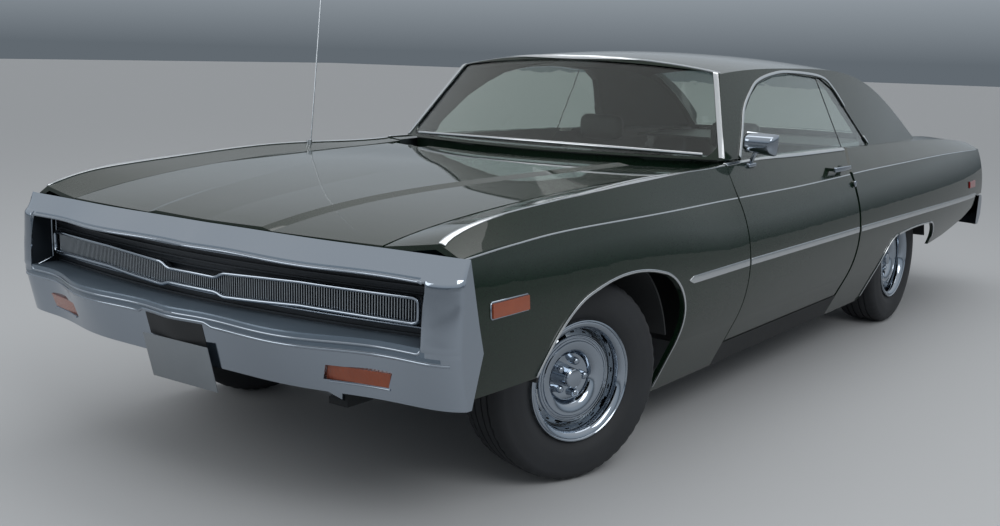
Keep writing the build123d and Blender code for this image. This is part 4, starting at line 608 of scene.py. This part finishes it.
# Painted shade of the groove between the lip's two bright lines: a dark band on the bumper's face
shade_band("lip_groove_shade", 0.955, (0.5865, 0.5925, 0.5975), LEDGE_SHADE)
OPENING_END = ((0.889, 0.606), (0.893, 0.612), (0.894, 0.640), (0.894, 0.700), (0.894, 0.770),
               (0.892, 0.790), (0.886, 0.797))
opening = round_loop(0.880, 130, lambda y: OPENING_LOW_Z, lambda y: OPENING_TOP_Z, OPENING_END)
rod("opening_bead", in_front(opening, SUNK), 0.0042, closed=True)
# Painted shade of the groove along the upper bar's lower edge: a dark band on the bumper's face
shade_band("bar_groove_shade", 0.880, (0.8055, 0.8095), LEDGE_SHADE)
# Painted shade of the recess behind the number plate: a dark band on the bumper's face
shade_band("plate_recess_shade", 0.132, (0.512, 0.545, 0.583), PAINTED_SHADE, 12, 0.0006, 0.0008)

# Corner caps that carry the upper bar's face down the bumper's ends to the lip, and lips under the turn lamps
CAP_TOP, CAP_HEIGHT, CAP_ROWS = 0.812, 0.200, 20
CAP_INNER, CAP_WIDTH, CAP_COLUMNS = 0.898, 0.092, 16
CAP_BELLY = 0.006  # how far a cap swells between its top and its foot
CAP_PROUD, CAP_TUCK = 0.0015, 0.002  # in front of the bumper's face, and behind it at top and foot
CAP_FALL = 0.05  # a face that falls back more than this between columns is past the bumper's end
CAP_ENDS = ((0.9935, 0.005), (0.9965, 0.014))  # the last two columns: y, and how far they turn back


def run_on(x, columns, row):
    """A column's place, or the straight continuation of the columns before it where the face falls back."""
    if columns and x < columns[-1][row].x - CAP_FALL:
        return 2 * columns[-1][row].x - columns[-2][row].x
    return x


LAMP_MIDDLE, LAMP_FRONT_X = 0.69, 2.6  # the turn lamp's middle, and a place behind its lens
LIP_INNER, LIP_WIDTH, LIP_STEPS, LIP_BELOW = 0.594, 0.186, 12, 0.006


def lamp_foot(side):
    """The lowest height at which the turn lamp is met, to 2 mm."""
    for step in range(60):
        z = 0.440 + 0.002 * step
        place = surface_at("marker_lamps", (AHEAD, side * LAMP_MIDDLE, z), (-1, 0, 0))
        if place and place.x > LAMP_FRONT_X:
            return z


for side, tag in SIDES:
    columns = []
    for step in range(CAP_COLUMNS + 1):
        y = side * (CAP_INNER + CAP_WIDTH * step / CAP_COLUMNS)
        top = run_on(bumper_x(y, CAP_TOP), columns, 0)
        low = run_on(bumper_x(y, CAP_TOP - CAP_HEIGHT), columns, -1)
        column = []
        for k in range(CAP_ROWS + 1):
            z = CAP_TOP - CAP_HEIGHT * k / CAP_ROWS
            line = top + (low - top) * k / CAP_ROWS + CAP_BELLY * math.sin(math.pi * k / CAP_ROWS)
            x = max(line, bumper_x(y, z) + CAP_PROUD) if 0 < k < CAP_ROWS else line - CAP_TUCK
            column.append(Vector((x, y, z)))
        columns.append(column)
    for y, back in CAP_ENDS:
        columns.append([Vector((point.x - back, side * y, point.z)) for point in columns[CAP_COLUMNS]])
    cap = sheet_through(columns)
    modified(cap, "SOLIDIFY", thickness=0.004, offset=0.0)
    in_edit(cap, lambda: bpy.ops.mesh.normals_make_consistent(inside=False))
    settled(cap, "bumper_corner_" + tag, CHROME, "root", "bumper_chrome", smooth=50)
    z = lamp_foot(side) - LIP_BELOW
    lip_line = [(side * (LIP_INNER + LIP_WIDTH * k / LIP_STEPS), z) for k in range(LIP_STEPS + 1)]
    rod("turn_lamp_lip_" + tag, in_front(lip_line, 0.001), 0.003)

# Bright frames of the side markers, as x and z
MARKER_EDGE = ((2.372, 0.689), (2.372, 0.726), (2.376, 0.730), (2.460, 0.730), (2.544, 0.730),
               (2.548, 0.726), (2.548, 0.689), (2.544, 0.685), (2.460, 0.685), (2.376, 0.685))
for side, tag in SIDES:
    edge = [surface_at("front_fenders", (x, side * BESIDE, z), (0, -side, 0)) for x, z in MARKER_EDGE]
    rod("marker_frame_" + tag, edge, 0.0035, closed=True, facing="Y")

# Bright frame line inside the opening
FRAME_BACK, RING_BACK, BACKING_BACK = 0.034, 0.014, 0.033  # distances behind the upper bar's edge
FRAME_END = ((0.868, 0.660), (0.872, 0.666), (0.872, 0.775), (0.868, 0.781))
frame_loop = round_loop(0.860, 48, lambda y: 0.655, lambda y: 0.786, FRAME_END)
rod("grille_frame_line", behind_bar(frame_loop, FRAME_BACK), 0.0032, closed=True)

# Ring in front of the headlamp doors: its top and low heights at each distance from the middle
RING = ((0.0, 0.714, 0.668), (0.112, 0.713, 0.668), (0.142, 0.729, 0.657), (0.300, 0.736, 0.664),
        (0.444, 0.741, 0.672), (0.640, 0.741, 0.671), (0.822, 0.741, 0.669))


def ring_z(y, column):
    """The ring's height at a distance from the middle, by a column of its table."""
    y = min(abs(y), RING[-1][0])
    for inner, outer in zip(RING, RING[1:]):
        if y <= outer[0]:
            part = (y - inner[0]) / (outer[0] - inner[0])
            return inner[column] + (outer[column] - inner[column]) * part


def ring_top(y):
    """The ring's top height."""
    return ring_z(y, 1)


def ring_low(y):
    """The ring's low height."""
    return ring_z(y, 2)


RING_END = ((0.834, 0.737), (0.839, 0.728), (0.839, 0.705), (0.839, 0.682), (0.834, 0.673))
ring_loop = round_loop(0.822, 110, ring_top, ring_low, RING_END)
ring = rod("headlamp_door_ring", behind_bar(ring_loop, RING_BACK), 0.0080, closed=True, flat=0.8)

# Upright fins inside the ring, one modelled and copied, 9 mm apart
FIN_PITCH, FIN_COUNT = 0.009, 183
FIN_GAP = 0.002  # between a fin's ends and the ring's middle line
fin = slab((0.0, -0.0013, 0.0), (0.012, 0.0013, 1.0), 0.0008, 1)
modified(fin, "ARRAY", count=FIN_COUNT, use_relative_offset=False, use_constant_offset=True,
         constant_offset_displace=(0, FIN_PITCH, 0))
for vertex in fin.data.vertices:
    number = round(vertex.co.y / FIN_PITCH)
    y = (number - (FIN_COUNT - 1) / 2) * FIN_PITCH
    top, low = ring_top(y) - FIN_GAP, ring_low(y) + FIN_GAP
    vertex.co = (grille_x(y) - FRAME_BACK + vertex.co.x, y + vertex.co.y - number * FIN_PITCH,
                 low + (top - low) * vertex.co.z)
settled(fin, "headlamp_door_fins", FINS, "root", "grille_enamel")
back = sheet_through([behind_bar([(y, ring_low(y)), (y, ring_top(y))], BACKING_BACK)
                      for y in across_car(0.836, 90)])
modified(back, "SOLIDIFY", thickness=0.003, offset=0.0)
settled(back, "headlamp_door_backing", GRILLE, "root", "grille_enamel")
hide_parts("headlamp_doors")


def turned(outline, steps):
    """A round piece spun about the wheel's axis from an outline of y and radius."""
    bpy.ops.object.select_all(action="DESELECT")
    bpy.ops.mesh.primitive_circle_add(vertices=len(outline), radius=1, fill_type="NOTHING")
    obj = bpy.context.active_object
    for vertex, (y, radius) in zip(obj.data.vertices, outline):
        vertex.co = (0.0, y, radius)
    in_edit(obj, lambda: bpy.ops.mesh.spin(steps=steps, angle=2 * math.pi, center=(0, 0, 0), axis=(0, 1, 0)),
            lambda: bpy.ops.mesh.select_all(action="SELECT"),
            lambda: bpy.ops.mesh.remove_doubles(threshold=0.0001),
            lambda: bpy.ops.mesh.normals_make_consistent(inside=False))
    return obj


# Wheels: name, body, side of the car, axle's x and steering angle in degrees
WHEELS = (
    ("front_left", "wheel_fl", 1, FRONT_AXLE, PARKED_STEER),
    ("front_right", "wheel_fr", -1, FRONT_AXLE, PARKED_STEER),
    ("rear_left", "wheel_rl", 1, REAR_AXLE, 0.0),
    ("rear_right", "wheel_rr", -1, REAR_AXLE, 0.0),
)


def wheel_place(side, axle, steer):
    """From a wheel's own axes, +Y outside and its middle at the origin, to the car."""
    flip = Matrix.Scale(-1, 4, (0, 1, 0)) if side < 0 else Matrix.Identity(4)
    pivot = Matrix.Translation((axle, side * (KINGPIN_Y if steer else HALF_TRACK), TYRE_RADIUS))
    turn = Matrix.Rotation(math.radians(steer), 4, "Z")
    return pivot @ turn @ Matrix.Translation((0, side * (HALF_TRACK - KINGPIN_Y) if steer else 0, 0)) @ flip


# Half of a tyre's section as y and radius, from the bead to the middle of the tread
TYRE_SECTION = ((0.0860, 0.1905), (0.0920, 0.2060), (0.1000, 0.2180), (0.1095, 0.2360), (0.1145, 0.2560),
                (0.1140, 0.2620), (0.1150, 0.2680), (0.1130, 0.2900), (0.1085, 0.3100), (0.1080, 0.3140),
                (0.1060, 0.3220), (0.0960, 0.3350), (0.0840, 0.3405), (0.0700, 0.3430), (0.0560, 0.3437),
                (0.0555, 0.3370), (0.0485, 0.3370), (0.0480, 0.3442), (0.0240, 0.3449), (0.0235, 0.3375),
                (0.0165, 0.3375), (0.0160, 0.3450))
TYRE_STEPS = 144
# Cross grooves at the tread's shoulders: from which y and radius on, how deep, and one in how many steps
SHOULDER_Y, SHOULDER_RADIUS, GROOVE_DEPTH, GROOVE_EVERY = 0.054, 0.334, 0.003, 3


def tyre():
    """A tyre with grooves round its tread and across its shoulders."""
    outline = list(TYRE_SECTION) + [(-y, r) for y, r in reversed(TYRE_SECTION)]
    obj = turned(outline, TYRE_STEPS)
    for vertex in obj.data.vertices:
        radius = math.hypot(vertex.co.x, vertex.co.z)
        step = round(math.degrees(math.atan2(vertex.co.x, vertex.co.z)) * TYRE_STEPS / 360)
        if radius > SHOULDER_RADIUS and abs(vertex.co.y) > SHOULDER_Y and step % GROOVE_EVERY == 0:
            vertex.co.x *= (radius - GROOVE_DEPTH) / radius
            vertex.co.z *= (radius - GROOVE_DEPTH) / radius
    return obj


def placed(obj, name, side, axle, steer, finish, body, slot):
    """A copy of a wheel piece in its place on the car."""
    copy = obj.copy()
    copy.data = obj.data.copy()
    bpy.context.scene.collection.objects.link(copy)
    copy.data.transform(wheel_place(side, axle, steer))
    if side < 0:
        in_edit(copy, bpy.ops.mesh.flip_normals)
    return settled(copy, name, finish, body, slot, smooth=30)


tyre_master = tyre()
# Sections as y and radius: trim ring from the rim's edge to the spider, wheel face with its ridges and bowl,
# hub cap and nut
RING_SECTION = ((0.1030, 0.2065), (0.1065, 0.2050), (0.1078, 0.2015), (0.1055, 0.1985), (0.1040, 0.1975),
                (0.1052, 0.1950), (0.1030, 0.1870), (0.0960, 0.1790), (0.0840, 0.1730), (0.0660, 0.1695),
                (0.0500, 0.1685), (0.0490, 0.1705), (0.0660, 0.1715), (0.0835, 0.1750), (0.0940, 0.1810),
                (0.0995, 0.1880), (0.1005, 0.2035))
FACE_SECTION = ((0.0585, 0.1470), (0.0655, 0.1485), (0.0683, 0.1460), (0.0683, 0.1435), (0.0655, 0.1415),
                (0.0655, 0.1380), (0.0680, 0.1365), (0.0680, 0.1345), (0.0655, 0.1330), (0.0655, 0.1290),
                (0.0690, 0.1260), (0.0690, 0.1235), (0.0670, 0.1150), (0.0645, 0.1020), (0.0600, 0.0940),
                (0.0520, 0.0870), (0.0470, 0.0840), (0.0440, 0.0810), (0.0395, 0.0795), (0.0385, 0.0770),
                (0.0385, 0.0200), (0.0372, 0.0200), (0.0372, 0.0780), (0.0500, 0.0890), (0.0630, 0.1010),
                (0.0630, 0.1440))
CAP_SECTION = ((0.0372, 0.0345), (0.0600, 0.0340), (0.0700, 0.0325), (0.0735, 0.0290), (0.0752, 0.0200),
               (0.0762, 0.0005), (0.0372, 0.0005))
NUT_SECTION = ((0.0375, 0.0135), (0.0500, 0.0135), (0.0560, 0.0125), (0.0610, 0.0095), (0.0635, 0.0050),
               (0.0643, 0.0003), (0.0375, 0.0003))
NUT_RADIUS, NUTS = 0.057, 5
SLOT_SHADE_RADIUS, SLOT_SHADES = 0.1565, 20


def round_the_hub(obj, count, first):
    """Copies of a piece at even angles round the wheel, joined in one mesh."""
    copies = []
    for k in range(count):
        copy = obj.copy()
        copy.data = obj.data.copy()
        bpy.context.scene.collection.objects.link(copy)
        copy.data.transform(Matrix.Rotation(first + 2 * math.pi * k / count, 4, "Y"))
        copies.append(copy)
    bpy.data.objects.remove(obj)
    bpy.ops.object.select_all(action="DESELECT")
    for copy in copies:
        copy.select_set(True)
    bpy.context.view_layer.objects.active = copies[0]
    bpy.ops.object.join()
    return copies[0]


ring_master, face_master = turned(RING_SECTION, 96), turned(FACE_SECTION, 96)
cap_master = turned(CAP_SECTION, 48)
nut = turned(NUT_SECTION, 20)
nut.data.transform(Matrix.Translation((NUT_RADIUS, 0, 0)))
nuts_master = round_the_hub(nut, NUTS, math.pi / NUTS)
# Painted shade in the wheel's slots: small dark slabs laid on the wheel face and copied round the hub
slot_shade = slab((-0.007, -0.0006, -0.003), (0.007, 0.0006, 0.003), 0.0005, 1)
slot_shade.data.transform(Matrix.Translation((0, 0.0508, SLOT_SHADE_RADIUS)) @ Matrix.Rotation(math.radians(30), 4, "X"))
slot_shade_master = round_the_hub(slot_shade, SLOT_SHADES, 0.0)
MASTERS = ((ring_master, "trim_ring_", CHROME), (face_master, "wheel_face_", CHROME),
           (cap_master, "hub_cap_", CHROME), (nuts_master, "wheel_nuts_", CHROME),
           (slot_shade_master, "wheel_slot_shade_", PAINTED_SHADE))
for name, body, side, axle, steer in WHEELS:
    piece = placed(tyre_master, "tyre_tread_" + name, side, axle, steer, RUBBER, body, "tyre_rubber")
    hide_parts("tyre_" + name)
    for master, kind, finish in MASTERS:
        placed(master, kind + name, side, axle, steer, finish, body, "wheel_chrome")
for master in (tyre_master,) + tuple(row[0] for row in MASTERS):
    bpy.data.objects.remove(master)

# Door handles and lock covers
for side, body, tag in ((1, "door_l", "left"), (-1, "door_r", "right")):
    inner, outer = sorted((side * 0.938, side * 0.954))
    grip = slab((-0.321, inner, 0.905), (-0.125, outer, 0.927), 0.005)
    settled(grip, "handle_grip_" + tag, CHROME, body, "bumper_chrome")
    bpy.ops.mesh.primitive_cylinder_add(vertices=32, radius=0.015, depth=0.008,
                                        location=(-0.353, side * 0.967, 0.839), rotation=(math.pi / 2, 0, 0))
    lock = bpy.context.active_object
    in_edit(lock, lambda: bpy.ops.mesh.bevel(offset=0.002, segments=2))
    settled(lock, "lock_cover_" + tag, CHROME, body, "bumper_chrome")


def mirror_shell(obj):
    """The head narrows to its front and to its inner end."""
    for vertex in obj.data.vertices:
        front = vertex.co.x > 0
        inner = vertex.co.y < 0
        vertex.co.z *= (0.62 if front else 1.0) * (0.86 if inner else 1.0)
        vertex.co.y *= 0.80 if front else 1.0


MIRROR_PLACE = (Matrix.Translation((0.672, 0.920, 1.070)) @ Matrix.Rotation(0.12, 4, "Z")
                @ Matrix.Rotation(-0.06, 4, "X"))
head = slab((-0.030, -0.074, -0.050), (0.034, 0.074, 0.050), 0.017, 4, mirror_shell)
modified(head, "SUBSURF", levels=1, render_levels=1)
head.data.transform(MIRROR_PLACE)
head = settled(head, "mirror_head", CHROME, "door_l", "bumper_chrome", smooth=60)
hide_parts("door_mirror")
glass = slab((-0.032, -0.066, -0.042), (-0.0295, 0.066, 0.042), 0.001, 2)
glass.data.transform(MIRROR_PLACE)
settled(glass, "mirror_glass", MIRROR, "door_l", "window_glass")
STEM_LINE = ((0.640, 0.872, 0.984), (0.648, 0.880, 0.996), (0.664, 0.894, 1.018), (0.672, 0.906, 1.036),
             (0.672, 0.912, 1.050))
rod("mirror_stem", STEM_LINE, 0.011, "door_l", sides=16, flat=0.7)
foot = slab((0.605, 0.858, 0.972), (0.672, 0.886, 0.990), 0.006, 3)
settled(foot, "mirror_foot", CHROME, "door_l", "bumper_chrome")

# Blank number plate, its foot tilted back
PLATE_MIDDLE, PLATE_TILT = (2.810, 0, 0.441), 0.25
plate = slab((-0.0015, -0.1525, -0.076), (0.0015, 0.1525, 0.076), 0.001, 2)
plate.data.transform(Matrix.Translation(PLATE_MIDDLE) @ Matrix.Rotation(PLATE_TILT, 4, "Y"))
settled(plate, "front_plate", PLATE, "root", "chassis_steel")


# Seats: pads swollen by cloth under pressure, then pleated
PAD_VOXEL, SWELL_STEPS, PLEAT_DEPTH = 0.012, 15, 0.006


def pad(name, low, high, lean, cap, pleats, across):
    """One cushion between two corners, swollen by at most the cap, pleated and then leant back."""
    obj = slab(low, high, 0.035, 4)
    modified(obj, "REMESH", mode="VOXEL", voxel_size=PAD_VOXEL)
    rest = [v.co.copy() for v in obj.data.vertices]
    alone(obj)
    cloth = obj.modifiers.new("stuffing", "CLOTH")
    cloth.settings.quality = 4
    cloth.settings.use_pressure = True
    cloth.settings.uniform_pressure_force = 4
    cloth.settings.effector_weights.gravity = 0
    for step in range(1, SWELL_STEPS + 1):
        bpy.context.scene.frame_set(step)
    bpy.ops.object.modifier_apply(modifier=cloth.name)
    bpy.context.scene.frame_set(1)
    for vertex, start in zip(obj.data.vertices, rest):
        move = vertex.co - start
        if move.length > cap:
            vertex.co = start + move * (cap / move.length)
    centre = [(a + b) / 2 for a, b in zip(low, high)]
    for vertex in obj.data.vertices:
        place = vertex.co.y - centre[1]
        edge = abs(place) / ((high[1] - low[1]) / 2)
        if pleats and edge < 0.9:
            vertex.co[across] -= PLEAT_DEPTH * (1 - abs(math.sin(math.pi * place / pleats))) ** 4
    if lean:
        hinge = Matrix.Translation((high[0], 0, low[2]))
        obj.data.transform(hinge @ Matrix.Rotation(math.radians(lean), 4, "Y") @ hinge.inverted())
    settled(obj, name, VINYL, "root", "seat_vinyl", smooth=60)
    return obj


# Pads: name, low corner, high corner, lean in degrees, cap, pleat pitch, and the axis that pleats sink along
FRONT_PADS = (
    ("front_cushion", (-0.195, -0.685, 0.430), (0.320, 0.685, 0.520), 0, 0.022, 0.075, 2),
    ("front_back_left", (-0.285, 0.012, 0.480), (-0.175, 0.685, 0.945), -13, 0.018, 0.075, 0),
    ("front_back_right", (-0.285, -0.685, 0.480), (-0.175, -0.012, 0.945), -13, 0.018, 0.075, 0),
    ("headrest_left", (-0.305, 0.255, 0.965), (-0.228, 0.505, 1.095), 0, 0.010, 0, 0),
    ("headrest_right", (-0.305, -0.505, 0.965), (-0.228, -0.255, 1.095), 0, 0.010, 0, 0),
)
REAR_PADS = (
    ("rear_cushion", (-0.860, -0.575, 0.430), (-0.425, 0.575, 0.505), 0, 0.020, 0.075, 2),
    ("rear_back", (-0.960, -0.575, 0.505), (-0.860, 0.575, 0.900), -21, 0.018, 0.075, 0),
)
for pads, node in ((FRONT_PADS, "front_seat"), (REAR_PADS, "rear_seat")):
    made = [pad(*row) for row in pads]
    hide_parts(node)

# Pale floor, a sky that is bright above the horizon, three wide lamps and the camera
bpy.ops.mesh.primitive_plane_add(size=160, location=(0, 0, 0))
floor = bpy.context.active_object
floor.name = "studio_floor"
floor.data.materials.append(plain("pale_floor_paint", "#a2a4a6", 0.7, scale=40.0, depth=0.0005, strength=0.1))
floor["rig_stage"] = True

world = bpy.data.worlds.new("studio")
world.use_nodes = True
bpy.context.scene.world = world
sky = world.node_tree
backing = sky.nodes["Background"]
coords = add(sky, "ShaderNodeTexCoord")
height = add(sky, "ShaderNodeSeparateXYZ", [("Vector", coords, "Generated")])
fade = add(sky, "ShaderNodeValToRGB", [("Fac", height, "Z")])
fade.color_ramp.elements[0].position = 0.0
fade.color_ramp.elements[0].color = srgb("#6f7880")
fade.color_ramp.elements[1].position = 0.6
fade.color_ramp.elements[1].color = srgb("#fbfdff")
low_sky = fade.color_ramp.elements.new(0.13)
low_sky.color = srgb("#d5dfe8")
sky.links.new(backing.inputs["Color"], fade.outputs["Color"])
backing.inputs["Strength"].default_value = 0.75


def soft_lamp(name, place, target, size, power):
    """A wide area lamp turned to a target."""
    bpy.ops.object.light_add(type="AREA", location=place)
    lamp = bpy.context.active_object
    lamp.name = name
    lamp.data.shape = "RECTANGLE"
    lamp.data.size, lamp.data.size_y = size
    lamp.data.energy = power
    lamp.rotation_euler = (Vector(target) - Vector(place)).to_track_quat("-Z", "Y").to_euler()


# Lamps: name, place, target, size and watts
soft_lamp("key_panel", (4.0, 5.5, 5.5), (0.8, 0.4, 0.6), (5.0, 3.0), 200)
soft_lamp("fill_panel", (6.5, -3.0, 3.0), (1.5, 0, 0.6), (4.0, 2.5), 65)
soft_lamp("roof_panel_light", (-1.0, 0, 6.5), (0, 0, 0.8), (8.0, 4.0), 150)

# The camera's axes from its heading, tilt and roll
yaw, pitch, roll = (math.radians(a) for a in (HEADING, TILT, ROLL))
ahead = Vector((math.cos(pitch) * math.cos(yaw), math.cos(pitch) * math.sin(yaw), math.sin(pitch)))
level_right = ahead.cross(Vector((0, 0, 1))).normalized()
level_up = level_right.cross(ahead)
right = level_right * math.cos(roll) + level_up * math.sin(roll)
up = right.cross(ahead)
bpy.ops.object.camera_add(location=CAMERA_PLACE)
camera = bpy.context.active_object
camera.matrix_world = Matrix.Translation(CAMERA_PLACE) @ Matrix((right, up, -ahead)).transposed().to_4x4()
camera.data.lens = LENS
camera.data.shift_y = SHIFT_Y
bpy.context.scene.camera = camera
bpy.context.scene.view_settings.view_transform = "Standard"

low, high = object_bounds()
